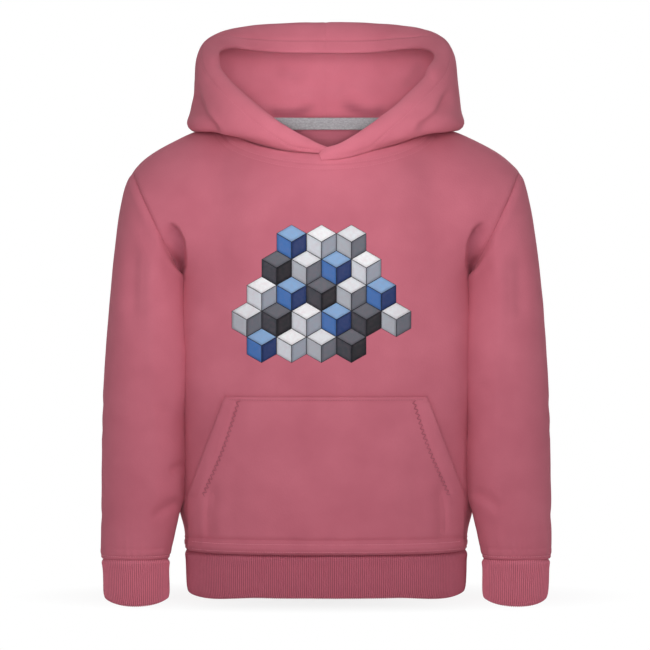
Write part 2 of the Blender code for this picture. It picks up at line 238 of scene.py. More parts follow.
# Shoulders, a rise and a dip; columns: height, how far out and reach.
SHOULDER_FORMS = ((0.0036, 0.134, 0.022), (-0.0042, 0.188, 0.030))
# Swells of the cloth; columns: height, size and seed.
BODY_SWELLS = ((0.0008, 0.130, 3), (0.00015, 0.036, 8))
HOOD_SWELLS = ((0.0008, 0.095, 21), (0.0003, 0.034, 22))
POCKET_SWELLS = ((0.0005, 0.070, 31),)
RIB_SWELLS = ((0.0005, 0.05, 5),)
# Pleats beside a rib: how many round it, their sway and how many sways, where they fade, how
# fast, and their height.
BODY_PLEATS = (71, 2.0, 9, 0.010, 0.012, 0.00030)
SLEEVE_PLEATS = (19, 1.5, 4, 0.008, 0.014, 0.00040)

# Floor: its level, half its width, rows of points, and how far from which place it turns white.
# AMBIENT is the light from all round.
FLOOR_Z = -0.535
FLOOR_REACH = 6
FLOOR_ROWS = 25
FLOOR_STRETCH = (0.52, 1, 1)
FLOOR_CENTRE = (0, 0.14, FLOOR_Z)
FLOOR_FADE = (-0.35, 0.19)
AMBIENT = 0.125

# Folds seen from the front, in millimetres across and up in the camera's plane.
# Columns: line, depth, width to the left of its run, to the right, fades at both ends.
ARMPIT_CREASES = (
    (((-178, -112), (-168, -117), (-163, -125), (-160, -134), (-159, -148), (-158, -170)),
     7.6, 3.0, 10.5, (0.22, 0.2)),
    (((178, -112), (168, -117), (163, -125), (160, -134), (159, -148), (158, -170)),
     7.2, 10.5, 3.0, (0.22, 0.2)),
)
FRONT_CREASES = (
    (((-213, -118), (-214, -180), (-212, -245)), 5.5, 12.0, 11.0, (0.3, 0.4)),
    (((212, -128), (215, -185), (213, -240)), 5.0, 11.0, 12.0, (0.3, 0.4)),
    (((-142, -150), (-144, -230), (-144, -350)), -8.0, 22.0, 34.0, (0.35, 0.35)),
    (((142, -150), (144, -230), (144, -350)), -8.0, 34.0, 22.0, (0.35, 0.35)),
    (((-184, -96), (-187, -190)), -3.0, 10.0, 10.0, (0.3, 0.4)),
    (((186, -100), (189, -196)), -2.8, 10.0, 10.0, (0.3, 0.4)),
    (((-169, -222), (-166, -331)), -2.0, 8.0, 8.0, (0.3, 0.3)),
    (((-190, -324), (-169, -316)), 1.6, 9.0, 7.0, (0.4, 0.3)),
    (((186, -300), (168, -288)), 1.4, 7.0, 9.0, (0.4, 0.3)),
    (((-174, -385), (-159, -374)), 3.6, 4.0, 5.0, (0.3, 0.2)),
    (((-159, -416), (-181, -428), (-193, -443)), 4.2, 4.5, 8.0, (0.2, 0.4)),
    (((161, -404), (182, -418), (195, -434)), 3.8, 8.0, 4.5, (0.2, 0.4)),
)
# Folds seen from behind, in millimetres along X and Z.
BACK_CREASES = (
    (((-172, -112), (-160, -124), (-154, -150), (-152, -182)), 3.6, 3.0, 9.0, (0.25, 0.35)),
    (((172, -112), (160, -124), (154, -150), (152, -182)), 3.4, 9.0, 3.0, (0.25, 0.35)),
    (((-120, -60), (-60, -84), (20, -88)), 1.4, 12.0, 9.0, (0.4, 0.4)),
    (((110, -96), (60, -112), (-10, -114)), 1.2, 9.0, 12.0, (0.4, 0.4)),
    (((-60, -470), (-52, -380), (-70, -300)), 1.5, 14.0, 10.0, (0.35, 0.5)),
    (((74, -468), (62, -390), (76, -318)), 1.4, 10.0, 14.0, (0.35, 0.5)),
    (((150, -440), (118, -424), (84, -430)), 1.3, 8.0, 6.0, (0.3, 0.5)),
    (((-148, -434), (-112, -420), (-80, -428)), 1.2, 6.0, 8.0, (0.3, 0.5)),
)
# Folds seen from the sides, on sleeves and body, in millimetres along Y and Z.
OUTER_SLEEVE_CREASES = (
    (((-52, -300), (-24, -312), (2, -306)), 0.9, 6.0, 9.0, (0.35, 0.4)),
    (((-58, -346), (-30, -338), (-6, -344)), 0.7, 8.0, 6.0, (0.35, 0.4)),
    (((-66, -420), (-36, -430), (-12, -424)), 0.8, 6.0, 8.0, (0.35, 0.4)),
    (((22, -150), (6, -200), (2, -250)), 1.4, 9.0, 9.0, (0.35, 0.4)),
)
BODY_SIDE_CREASES = (
    (((-8, -158), (-8, -300), (-10, -452)), -1.0, 50.0, 50.0, (0.10, 0.14)),
    (((-8, -260), (-8, -340), (-10, -454)), -4.2, 50.0, 50.0, (0.50, 0.16)),
)
INNER_SLEEVE_CREASES = (
    (((-22, -150), (-28, -300), (-34, -450)), -4.6, 40.0, 40.0, (0.08, 0.15)),
    (((-22, -140), (-26, -200), (-30, -330)), -4.4, 40.0, 40.0, (0.16, 0.60)),
    (((-56, -290), (-26, -300), (4, -292)), 0.8, 6.0, 9.0, (0.3, 0.3)),
    (((-58, -330), (-26, -322), (2, -330)), 0.8, 8.0, 6.0, (0.3, 0.3)),
    (((-60, -412), (-34, -422), (-8, -414)), 0.8, 6.0, 8.0, (0.3, 0.3)),
)
# Folds of the hood, seen from the front, the sides and behind, in the same ways.
HOOD_FRONT_CREASES = (
    (((-131, 59), (-117, 72), (-97, 79), (-84, 79)), -3.6, 12.0, 4.0, (0.3, 0.4)),
    (((-92, 77), (-113, 62)), -1.2, 5.0, 5.0, (0.3, 0.3)),
    (((101, 75), (112, 60), (124, 45)), -3.8, 12.0, 4.0, (0.3, 0.3)),
    (((109, 26), (87, 12)), -1.2, 5.0, 6.0, (0.4, 0.4)),
    (((-143, 44), (-142, 24), (-130, 6), (-113, -16)), 6.0, 4.0, 8.0, (0.25, 0.25)),
    (((140, 40), (133, 27), (122, 10), (94, -12)), 6.0, 8.0, 4.0, (0.25, 0.25)),
    (((-160, -1), (-140, -6), (-112, -16)), -3.5, 7.0, 7.0, (0.0, 0.4)),
    (((-138, 22), (-128, 8), (-106, -18)), -2.6, 5.0, 5.0, (0.3, 0.3)),
    (((129, 22), (118, 8), (88, -14)), -2.6, 5.0, 5.0, (0.3, 0.3)),
    (((160, -1), (140, -6), (112, -16)), -3.0, 7.0, 7.0, (0.0, 0.4)),
)
HOOD_SIDE_CREASES = (
    (((-70, 2), (0, -2), (60, 4)), -4.5, 9.0, 9.0, (0.3, 0.3)),
)
HOOD_BACK_CREASES = (
    (((-84, 66), (-30, 38), (30, 40), (86, 70)), 2.2, 9.0, 13.0, (0.3, 0.3)),
    (((-70, 24), (-20, 6), (34, 8), (74, 28)), 1.8, 8.0, 12.0, (0.3, 0.3)),
    (((-108, 30), (-84, 4), (-60, -10)), 1.8, 7.0, 9.0, (0.3, 0.4)),
    (((110, 34), (88, 6), (60, -8)), 1.8, 9.0, 7.0, (0.3, 0.4)),
)
# Folds of the lining, seen from the front.
LINING_FOLDS = (
    (((-100, 54), (-76, 42), (-49, 32)), -2.2, 5.0, 9.0, (0.3, 0.3)),
    (((96, 46), (70, 36), (44, 34)), -2.0, 9.0, 5.0, (0.3, 0.3)),
    (((-20, 52), (-34, 20)), -1.2, 12.0, 12.0, (0.4, 0.4)),
    (((24, 50), (34, 20)), -1.2, 12.0, 12.0, (0.4, 0.4)),
)
# Shade painted into the colour in folds, seen from the front: as above, with thousandths of full
# painted shade for the depth.
LINING_SHADES = (
    (((-70, 15), (-48, 10), (-26, 12), (-8, 21)), -520, 5.0, 6.0, (0.25, 0.35)),
    (((10, 23), (28, 15), (48, 10), (72, 15)), -520, 6.0, 5.0, (0.35, 0.25)),
    (((-66, 60), (-44, 52), (-16, 43)), -110, 9.0, 6.0, (0.4, 0.4)),
    (((106, 70), (95, 52), (82, 34)), -160, 7.0, 5.0, (0.3, 0.3)),
)
# Painted shade in the folds under the arms, on the front panel.
ARMPIT_SHADES = (
    (((-180, -108), (-165, -117), (-158, -134), (-156, -176)), -400, 1.6, 12.0, (0.3, 0.05)),
    (((180, -108), (165, -117), (158, -134), (156, -176)), -400, 12.0, 1.6, (0.3, 0.05)),
)
# Folds of the pocket, seen from the front.
POCKET_CREASES = (
    (((-124, -392), (-129, -430), (-129, -465)), 4.2, 9.0, 5.0, (0.3, 0.2)),
    (((124, -392), (129, -430), (129, -465)), 4.0, 5.0, 9.0, (0.3, 0.2)),
    (((-88, -352), (-104, -420), (-106, -462)), 1.6, 14.0, 10.0, (0.4, 0.3)),
    (((92, -360), (104, -424), (104, -462)), 1.4, 10.0, 14.0, (0.4, 0.3)),
)

# The print on the chest: a cluster of tumbling blocks, in metres in the camera's plane.
BLOCK_EDGE = 0.019
PRINT_CENTRE = (-0.005, -0.189)
# Columns: row from the top, place of its first block in block widths, blocks.
BLOCK_ROWS = ((0, -1.0, 3), (1, -1.5, 4), (2, -2.0, 5), (3, -2.5, 6), (4, -2.0, 4))
# Display colours of a block: its top, left and right faces.
BLOCK_INKS = (
    ((134, 172, 214), (62, 108, 172), (28, 50, 98)),
    ((226, 229, 233), (166, 172, 180), (98, 103, 112)),
    ((244, 246, 248), (204, 209, 216), (146, 154, 166)),
    ((96, 100, 108), (54, 57, 64), (24, 25, 30)),
)
BLOCK_OUTLINE = (26, 26, 30)
BLOCK_OUTLINE_WORN = (44, 44, 50)
PRINT_WEAR_SHARE = 0.12
PRINT_CLOTH = (190, 104, 120)
FILM_HEIGHT = 0.00024
UNDERLAY_HEIGHT = 0.00012
FILM_BASE = 0.00002
FILM_INSET_SHARE = 0.955
FILM_STEPS = 6

# Display colours of the materials, from dark to light, and of the shade painted into deep folds.
TONES = {
    "fleece_jersey": ((191, 102, 119), (207, 116, 133)),
    "hood_jersey": ((190, 102, 118), (208, 116, 133)),
    # The lining is the jersey's own cloth, made lighter: painted light inside the hood.
    "lining_jersey_painted_light": ((205, 114, 132), (222, 130, 148)),
    "rib_knit": ((188, 98, 117), (210, 117, 136)),
    # The cuffs' knit is the waistband's rib, made lighter: painted light.
    "cuff_knit_painted_light": ((208, 114, 133), (230, 133, 152)),
    "heather_tape": ((150, 148, 151), (176, 173, 177), (204, 201, 205)),
    "thread": ((205, 117, 135), (234, 150, 166)),
    "soft_thread": ((190, 103, 120), (212, 122, 139)),
    "dark_thread": ((150, 74, 91), (176, 93, 110)),
    "grey_thread": ((176, 173, 177), (204, 201, 205)),
}
# Colour of the painted shade in deep folds.
PAINTED_FOLD_SHADE = (120, 54, 72)

sleeve_axis_x = CHEST_WIDTH / 2 + SLEEVE_STANDOFF + SLEEVE_END_WIDTH / 2
half_chest = CHEST_WIDTH / 2
half_depth = CHEST_DEPTH / 2
hem_seam_z = WAISTBAND_HEIGHT - BODY_LENGTH
cuff_seam_z = CUFF_HEIGHT - SLEEVE_DROP
pocket_top_z = hem_seam_z + POCKET_HEIGHT
pocket_slant_z = pocket_top_z - POCKET_SLANT_HEIGHT
armpit = Vector((half_chest, 0, -ARMHOLE_DROP))
shoulder_point = Vector((half_chest + SHOULDER_OVERHANG, 0, -SHOULDER_DROP))


def colour(red, green, blue):
    """A display colour, 0 to 255, as the linear one that shaders take."""
    shares = np.array((red, green, blue)) / 255
    linear = np.where(shares > 0.04045, ((shares + 0.055) / 1.055) ** 2.4, shares / 12.92)
    return (*linear.tolist(), 1.0)


def tones(name):
    """The colours of a material, from dark to light."""
    return [colour(*tone) for tone in TONES[name]]


def swell(count):
    """How far a ring of this many control points lies outside the curve they make."""
    return 3 / (2 + math.cos(math.tau / count))


def mix(start, end, share):
    return start + (end - start) * share


def torso_ring(width_share, depth_share, z, side_lift=0.0, lift_power=8):
    """Half a torso section, front centre round the side seam to back centre."""
    count = 2 * QUARTER_COLUMNS
    grow = swell(2 * count)
    points = []
    for column in range(count + 1):
        angle = math.pi * column / count
        sine, cosine = math.sin(angle), math.cos(angle)
        across, along = abs(sine) ** ROUNDNESS_SHARE, abs(cosine) ** ROUNDNESS_SHARE
        x = half_chest * width_share * grow * across
        y = -half_depth * depth_share * grow * math.copysign(along, cosine)
        points.append(Vector((x, y, z + side_lift * sine**lift_power)))
    return points


def armhole_ring():
    """The armhole seam, armpit first, then its front, the shoulder point and its back."""
    grow = swell(SLEEVE_COLUMNS)
    points = []
    for column in range(SLEEVE_COLUMNS):
        angle = math.tau * column / SLEEVE_COLUMNS
        point = armpit.lerp(shoulder_point, 0.5 - grow * math.cos(angle) / 2)
        point.y = -ARMHOLE_DEPTH / 2 * grow * math.sin(angle)
        points.append(point)
    return points


def neckline(facing):
    """The neck seam, centre to side neck point. facing is -1 for front and 1 for back."""
    grow = swell(4 * NECK_COLUMNS)
    rise = NECK_BACK_RISE if facing > 0 else -NECK_FRONT_DROP
    points = []
    for column in range(NECK_COLUMNS + 1):
        angle = math.pi / 2 * column / NECK_COLUMNS
        x = NECK_WIDTH / 2 * grow * math.sin(angle)
        y = facing * NECK_DEPTH / 2 * grow * math.cos(angle)
        points.append(Vector((x, y, rise * math.cos(angle))))
    return points


def shoulder_seam():
    """The shoulder seam, side neck point to shoulder point."""
    start, end = neckline(1)[-1], armhole_ring()[SLEEVE_COLUMNS // 2]
    return [
        Vector((mix(start.x, end.x, run), 0, mix(start.z, end.z, fall)))
        for run, fall in SHOULDER_SHARES
    ]


def yoke(facing, armpit_row):
    """Rows of the panel above the armpit, blended between its four edges."""
    top = neckline(facing)[:-1] + shoulder_seam()
    ring = armhole_ring()
    columns = len(top) - 1
    rows = []
    for row in range(YOKE_ROWS + 1):
        v = row / YOKE_ROWS
        edge = ring[row] if facing < 0 else ring[-row % SLEEVE_COLUMNS]
        lean = math.cos(math.pi / 2 * v**1.3)
        centre = armpit_row[0].lerp(top[0], v)
        centre.y = mix(top[0].y, armpit_row[0].y, lean)
        points = []
        for column in range(columns + 1):
            u = column / columns
            ruled = armpit_row[column].lerp(top[column], v) + centre.lerp(edge, u)
            corners = armpit_row[0].lerp(top[0], v).lerp(armpit_row[-1].lerp(top[-1], v), u)
            points.append(ruled - corners)
        rows.append(points)
    return rows


def body_ring(row):
    """Half of one ring of the body, below the underarm."""
    height, width, depth = BODY_SHARES[row]
    return torso_ring(width, depth, mix(hem_seam_z, -ARMHOLE_DROP - UNDERARM_DIP, height))


def body_rows():
    """Half of the front and half of the back, hem seam to neckline and shoulder seam."""
    underarm_z = -ARMHOLE_DROP - UNDERARM_DIP
    rings = [body_ring(row) for row in range(len(BODY_SHARES))]
    rings.append(torso_ring(1, 1, underarm_z, UNDERARM_DIP, 24))
    rings[-1][QUARTER_COLUMNS] = armhole_ring()[0]
    front = [ring[: QUARTER_COLUMNS + 1] for ring in rings]
    back = [ring[: QUARTER_COLUMNS - 1 : -1] for ring in rings]
    front += yoke(-1, front[-1])[1:]
    back += yoke(1, back[-1])[1:]
    return front, back


def waistband_rows():
    return [
        torso_ring(
            width, depth, hem_seam_z - WAISTBAND_HEIGHT * drop, WAISTBAND_CORNER_LIFT * drop**3
        )
        for drop, width, depth in WAISTBAND_SHARES
    ]


def sleeve_ring(inner, outer, depth, forward, corner_lift=0.0):
    """A closed sleeve section between its inner and outer points, inner point first."""
    grow = swell(SLEEVE_COLUMNS)
    points = []
    for column in range(SLEEVE_COLUMNS + 1):
        angle = math.tau * column / SLEEVE_COLUMNS
        point = inner.lerp(outer, 0.5 - grow * math.cos(angle) / 2)
        point.y = -forward - depth / 2 * grow * math.sin(angle)
        point.z += corner_lift * math.cos(angle) ** 4
        points.append(point)
    return points


def sleeve_rows():
    cuff_inner = half_chest + SLEEVE_STANDOFF
    cuff_outer = cuff_inner + SLEEVE_END_WIDTH
    ring = armhole_ring()
    rows = [ring + ring[:1]]
    for inner_fall, outer_fall, inner_run, outer_run, closing, swing in SLEEVE_SHARES:
        inner = Vector((mix(armpit.x, cuff_inner, inner_run), 0, 0))
        inner.z = mix(armpit.z, cuff_seam_z, inner_fall)
        outer = Vector((mix(shoulder_point.x, cuff_outer, outer_run), 0, 0))
        outer.z = mix(shoulder_point.z, cuff_seam_z, outer_fall)
        depth = mix(ARMHOLE_DEPTH, SLEEVE_END_DEPTH, closing)
        rows.append(sleeve_ring(inner, outer, depth, SLEEVE_FORWARD * swing))
    return rows


def cuff_rows():
    rows = []
    for drop, width, depth in CUFF_SHARES:
        half = SLEEVE_END_WIDTH * width / 2
        z = cuff_seam_z - CUFF_HEIGHT * drop
        inner = Vector((sleeve_axis_x - half, 0, z))
        outer = Vector((sleeve_axis_x + half, 0, z))
        lift = CUFF_CORNER_LIFT * drop**3
        rows.append(sleeve_ring(inner, outer, SLEEVE_END_DEPTH * depth, SLEEVE_FORWARD, lift))
    return rows


def hood_rows():
    """Half of the hood, neck seam to rim, each row from the front centre to the back."""
    base = neckline(-1) + neckline(1)[-2::-1]
    rows = [base]
    for pairs in HOOD_SHARES:
        points = []
        for foot, (stand, rise) in zip(base, pairs):
            outward = Vector((foot.x / NECK_WIDTH**2, foot.y / NECK_DEPTH**2, 0)).normalized()
            point = foot + outward * HOOD_DRAPE * stand
            point.z += HOOD_HEIGHT * rise
            points.append(point)
        rows.append(points)
    return rows


def smooth_step(value):
    """Zero below 0, one above 1, and an even rise between."""
    t = np.clip(value, 0, 1)
    return t * t * (3 - 2 * t)


def bell(value):
    return np.exp(-(value**2))


def unit(vectors):
    return vectors / np.maximum(np.linalg.norm(vectors, axis=-1, keepdims=True), 1e-12)


def basis(t):
    """Weights of the four control points round a place t of the way along a cubic span."""
    return np.stack(
        ((1 - t) ** 3, 3 * t**3 - 6 * t**2 + 4, 1 + 3 * t + 3 * t**2 - 3 * t**3, t**3), axis=-1
    ) / 6


def spline(points, params):
    """A uniform cubic spline along the first axis; 0 is at points[1], which has one before it."""
    spans = np.clip(np.floor(params).astype(int), 0, len(points) - 4)
    weights = basis(params - spans)
    shape = (len(params),) + (1,) * (points.ndim - 1)
    return sum(weights[:, j].reshape(shape) * points[spans + j] for j in range(4))


def as_array(rows):
    return np.array([[tuple(point) for point in row] for row in rows])


def ringed(half_rows):
    """Full rings from half rings: front centre, the wearer's left, the back, the right."""
    half = as_array(half_rows)
    return np.concatenate((half, half[:, -2:0:-1] * (-1, 1, 1)), axis=1)


def wrapped(rings):
    """Closed rings padded so that spline() can run once round them, and a little further."""
    return np.concatenate((rings[:, -1:], rings, rings[:, :3]), axis=1)


def with_end_rows(rows, first=None, last=None):
    """Adds the rows before and after that a smooth surface with free edges has there."""
    first = 2 * rows[0] - rows[1] if first is None else first
    last = 2 * rows[-1] - rows[-2] if last is None else last
    return np.concatenate((first[None], rows, last[None]))


def run_along(places):
    """The length run along each line of places, from its first place to every one."""
    steps = np.linalg.norm(np.diff(places, axis=-2), axis=-1)
    return np.concatenate((np.zeros_like(steps[..., :1]), steps.cumsum(axis=-1)), axis=-1)


def at_runs(spots, runs, places):
    """Places, or directions, at given lengths along a line that has them at known lengths."""
    return np.stack([np.interp(spots, runs, places[:, axis]) for axis in range(3)], axis=-1)


def half_turn(centre, start, through, radius):
    """Columns of places round half a circle, from one direction through another."""
    columns = []
    for angle in np.linspace(0, math.pi, TURN_STEPS)[1:-1]:
        way = start * math.cos(angle) + through * math.sin(angle)
        columns.append((centre + way * radius)[:, None])
    return columns


def placed(name, data):
    """A new object in the scene."""
    made = bpy.data.objects.new(name, data)
    bpy.context.scene.collection.objects.link(made)
    return made


def new_object(name, places, faces, material=None, corner=None):
    """A smooth mesh object; edges sharper than corner, in degrees, stay sharp."""
    mesh = bpy.data.meshes.new(name)
    faces = faces if isinstance(faces, list) else faces.tolist()
    mesh.from_pydata(np.asarray(places).tolist(), [], faces)
    mesh.shade_smooth()
    if corner:
        mesh.set_sharp_from_angle(angle=math.radians(corner))
    if material:
        mesh.materials.append(material)
    return placed(name, mesh)


def read(items, key, width, kind=float):
    """A property of a mesh's vertices, corners or faces as an array with width columns."""
    values = np.empty(len(items) * width, dtype=kind)
    items.foreach_get(key, values)
    return values.reshape(-1, width)


def mark(piece, name, values):
    """Stores a value for each vertex, for the piece's material."""
    layer = piece.data.attributes.new(name, "FLOAT", "POINT")
    layer.data.foreach_set("value", np.ascontiguousarray(values, dtype=np.float32).ravel())
    return piece


def grid_quads(rows, columns):
    """Faces between places numbered row by row."""
    index = np.arange(rows * columns).reshape(rows, columns)
    quads = np.stack((index[:-1, :-1], index[:-1, 1:], index[1:, 1:], index[1:, :-1]), axis=-1)
    return quads.reshape(-1, 4)


def quad_edges(quads):
    return np.vstack([quads[:, [i, (i + 1) % 4]] for i in range(4)])


def open_edges(quads):
    """The directed edges that only one face has."""
    edges = quad_edges(quads)
    base = int(quads.max()) + 1
    ahead = edges[:, 0].astype(np.int64) * base + edges[:, 1]
    back = edges[:, 1].astype(np.int64) * base + edges[:, 0]
    return edges[~np.isin(ahead, back)]


def sheet_faces(quads, count):
    """The outer faces, the inner ones, whose places come count later, and those of the rim."""
    rim = open_edges(quads)
    sides = np.column_stack((rim[:, 1], rim[:, 0], rim[:, 0] + count, rim[:, 1] + count))
    return np.vstack((quads, quads[:, ::-1] + count, sides))


def closed_sheet(name, outer, inner, quads, material):
    """A solid sheet of cloth from its outer and inner faces."""
    faces = sheet_faces(quads, len(outer))
    return new_object(name, np.vstack((outer, inner)), faces, material)


def volume(places, quads):
    """The volume inside a closed mesh of quads, below zero if it is inside out."""
    a, b, c, d = (places[quads[:, corner]] for corner in range(4))
    return (np.cross(b, c) * a).sum() / 6 + (np.cross(c, d) * a).sum() / 6


def loop_solid(name, grid, material, ring=False):
    """A solid from section loops: grid[i, j] is point j of loop i. ring joins last to first."""
    loops, size = grid.shape[:2]
    index = np.arange(loops * size).reshape(loops, size)
    ahead = np.roll(index, -1, axis=0) if ring else index[1:]
    here = index if ring else index[:-1]
    quads = np.stack(
        (here, ahead, np.roll(ahead, -1, axis=1), np.roll(here, -1, axis=1)), axis=-1
    ).reshape(-1, 4)
    faces = [quads]
    if not ring:
        pairs = np.arange((size - 1) // 2)
        for loop, order in ((0, 1), (loops - 1, -1)):
            row = index[loop]
            cap = np.stack(
                (row[pairs], row[pairs + 1], row[size - 2 - pairs], row[size - 1 - pairs]), axis=-1
            )
            faces.append(cap[:, ::order])
    places, faces = grid.reshape(-1, 3), np.vstack(faces)
    if volume(places, faces) < 0:
        faces = faces[:, ::-1]
    return new_object(name, places, faces, material, None if ring else 55)


def add_patch(bm, rows, label, side):
    """Quads between rows of points, on the wearer's left (side 1) or right (side -1)."""
    verts = [[bm.verts.new((side * p.x, p.y, p.z)) for p in row] for row in rows]
    for lower, upper in zip(verts, verts[1:]):
        for column in range(len(lower) - 1):
            corners = (lower[column], lower[column + 1], upper[column + 1], upper[column])
            bm.faces.new(corners).material_index = label


class Surface:
    """The smooth outer surface of body and sleeves, as arrays."""

    def __init__(self):
        front, back = body_rows()
        patches = (
            (front, FRONT),
            (back, BACK),
            (sleeve_rows(), SLEEVE),
            (cuff_rows(), CUFF),
            (waistband_rows(), WAISTBAND),
        )
        bm = bmesh.new()
        for rows, label in patches:
            for side in (1, -1):
                add_patch(bm, rows, label, side)
        bmesh.ops.remove_doubles(bm, verts=bm.verts, dist=SEAM_GAP / 3)
        bmesh.ops.recalc_face_normals(bm, faces=bm.faces)
        mesh = bpy.data.meshes.new("cage")
        bm.to_mesh(mesh)
        bm.free()
        cage = placed("cage", mesh)
        modifier = cage.modifiers.new("Smooth", "SUBSURF")
        modifier.levels = modifier.render_levels = SURFACE_LEVELS
        graph = bpy.context.evaluated_depsgraph_get()
        fine = bpy.data.meshes.new_from_object(cage.evaluated_get(graph))
        bpy.data.objects.remove(cage)
        bpy.data.meshes.remove(mesh)
        self.places = read(fine.vertices, "co", 3)
        self.normals = read(fine.vertices, "normal", 3)
        self.quads = read(fine.loops, "vertex_index", 1, np.int32).reshape(-1, 4)
        self.labels = read(fine.polygons, "material_index", 1, np.int32).ravel()
        bpy.data.meshes.remove(fine)
        if self.normals[np.argmin(self.places[:, 1]), 1] > 0:
            self.normals *= -1
            self.quads = self.quads[:, ::-1].copy()
        self.marks = np.zeros(len(self.places), dtype=np.int32)
        for label in (FRONT, BACK, SLEEVE, CUFF, WAISTBAND):
            self.marks[np.unique(self.quads[self.labels == label])] |= 1 << label

    def on(self, *labels):
        """Which vertices lie on any of the panels."""
        return (self.marks & sum(1 << label for label in labels)) > 0

    def seam(self, one, other):
        """Points close together along the seam between two panels."""
        both = (1 << one) | (1 << other)
        shared = (self.marks & both) == both
        edges = quad_edges(self.quads)
        return self.along(edges[shared[edges].all(axis=1)])

    def from_seams(self, *pairs):
        """How far each vertex lies from the seams between pairs of panels."""
        return distance_to(self.places, np.vstack([self.seam(*pair) for pair in pairs]))

    def neck_edge(self):
        """The open edges that make the neckline."""
        edges = open_edges(self.quads)
        return edges[self.places[edges[:, 0], 2] > -ARMHOLE_DROP]

    def along(self, edges):
        starts, ends = self.places[edges[:, 0]], self.places[edges[:, 1]]
        return np.vstack([starts + (ends - starts) * share for share in (0, 0.25, 0.5, 0.75)])

    def cut(self, label, side=0):
        """The vertices and faces of one panel, on one side (1 or -1) or on both (0)."""
        keep = self.labels == label
        if side:
            keep &= self.places[self.quads].mean(axis=1)[:, 0] * side > 0
        quads = self.quads[keep]
        used = np.unique(quads)
        fresh = np.zeros(len(self.places), dtype=np.int64)
        fresh[used] = np.arange(len(used))
        return used, fresh[quads]


def distance_to(places, points):
    """How far each place lies from the nearest of many points."""
    tree = KDTree(len(points))
    for index, point in enumerate(points):
        tree.insert(point, index)
    tree.balance()
    return np.array([tree.find(place)[2] for place in places])


def seen(places):
    """Places as the camera sees them, carried onto the plane through the wearer's middle."""
    scale = CAMERA_DISTANCE / (CAMERA_DISTANCE + places[:, 1])
    return np.column_stack(
        (EYE_X + (places[:, 0] - EYE_X) * scale, EYE_Z + (places[:, 2] - EYE_Z) * scale)
    )


def line_distance(at, line):
    """Signed distance of points from a broken line in the plane, and the share run along it."""
    line = np.asarray(line, dtype=float)
    steps = np.diff(line, axis=0)
    lengths = np.linalg.norm(steps, axis=1)
    before = run_along(line)
    best = np.full(len(at), np.inf)
    signed, run = np.zeros(len(at)), np.zeros(len(at))
    for start, step, length, passed in zip(line, steps, lengths, before):
        away = at - start
        share = np.clip(away @ step / length**2, 0, 1)
        gap = np.linalg.norm(away - share[:, None] * step, axis=1)
        side = np.sign(step[0] * away[:, 1] - step[1] * away[:, 0])
        nearer = gap < best
        best = np.where(nearer, gap, best)
        signed = np.where(nearer, gap * side, signed)
        run = np.where(nearer, (passed + share * length) / before[-1], run)
    return signed, run


def rounded_line(points, count=24):
    """A smooth line through a few points, so that a crease has no corners."""
    points = np.asarray(points, dtype=float)
    if len(points) < 3:
        return points
    ends = np.vstack((2 * points[0] - points[1], points, 2 * points[-1] - points[-2]))
    spots = np.linspace(0, len(points) - 1, count)
    spans = np.minimum(spots.astype(int), len(points) - 2)
    t = (spots - spans)[:, None]
    a, b, c, d = (ends[spans + j] for j in range(4))
    return (
        2 * b + (c - a) * t + (2 * a - 5 * b + 4 * c - d) * t**2 + (3 * b - a - 3 * c + d) * t**3
    ) / 2


def crease(at, points, depth, width, other_width=None, fade=(0.25, 0.25)):
    """A fold along a line: depth below the cloth (or above, if negative), in millimetres.

    width is how far it reaches to the left of the line's run, other_width to the right.
    """
    signed, run = line_distance(at, rounded_line(np.asarray(points) * 0.001))
    reach = np.where(signed > 0, width, other_width or width) * 0.001
    ends = smooth_step(run / max(fade[0], 1e-6)) * smooth_step((1 - run) / max(fade[1], 1e-6))
    return -depth * 0.001 * bell(signed / reach) * ends


def folds(at, table):
    """All the folds of a table, one over the other."""
    return sum(crease(at, *fold) for fold in table)


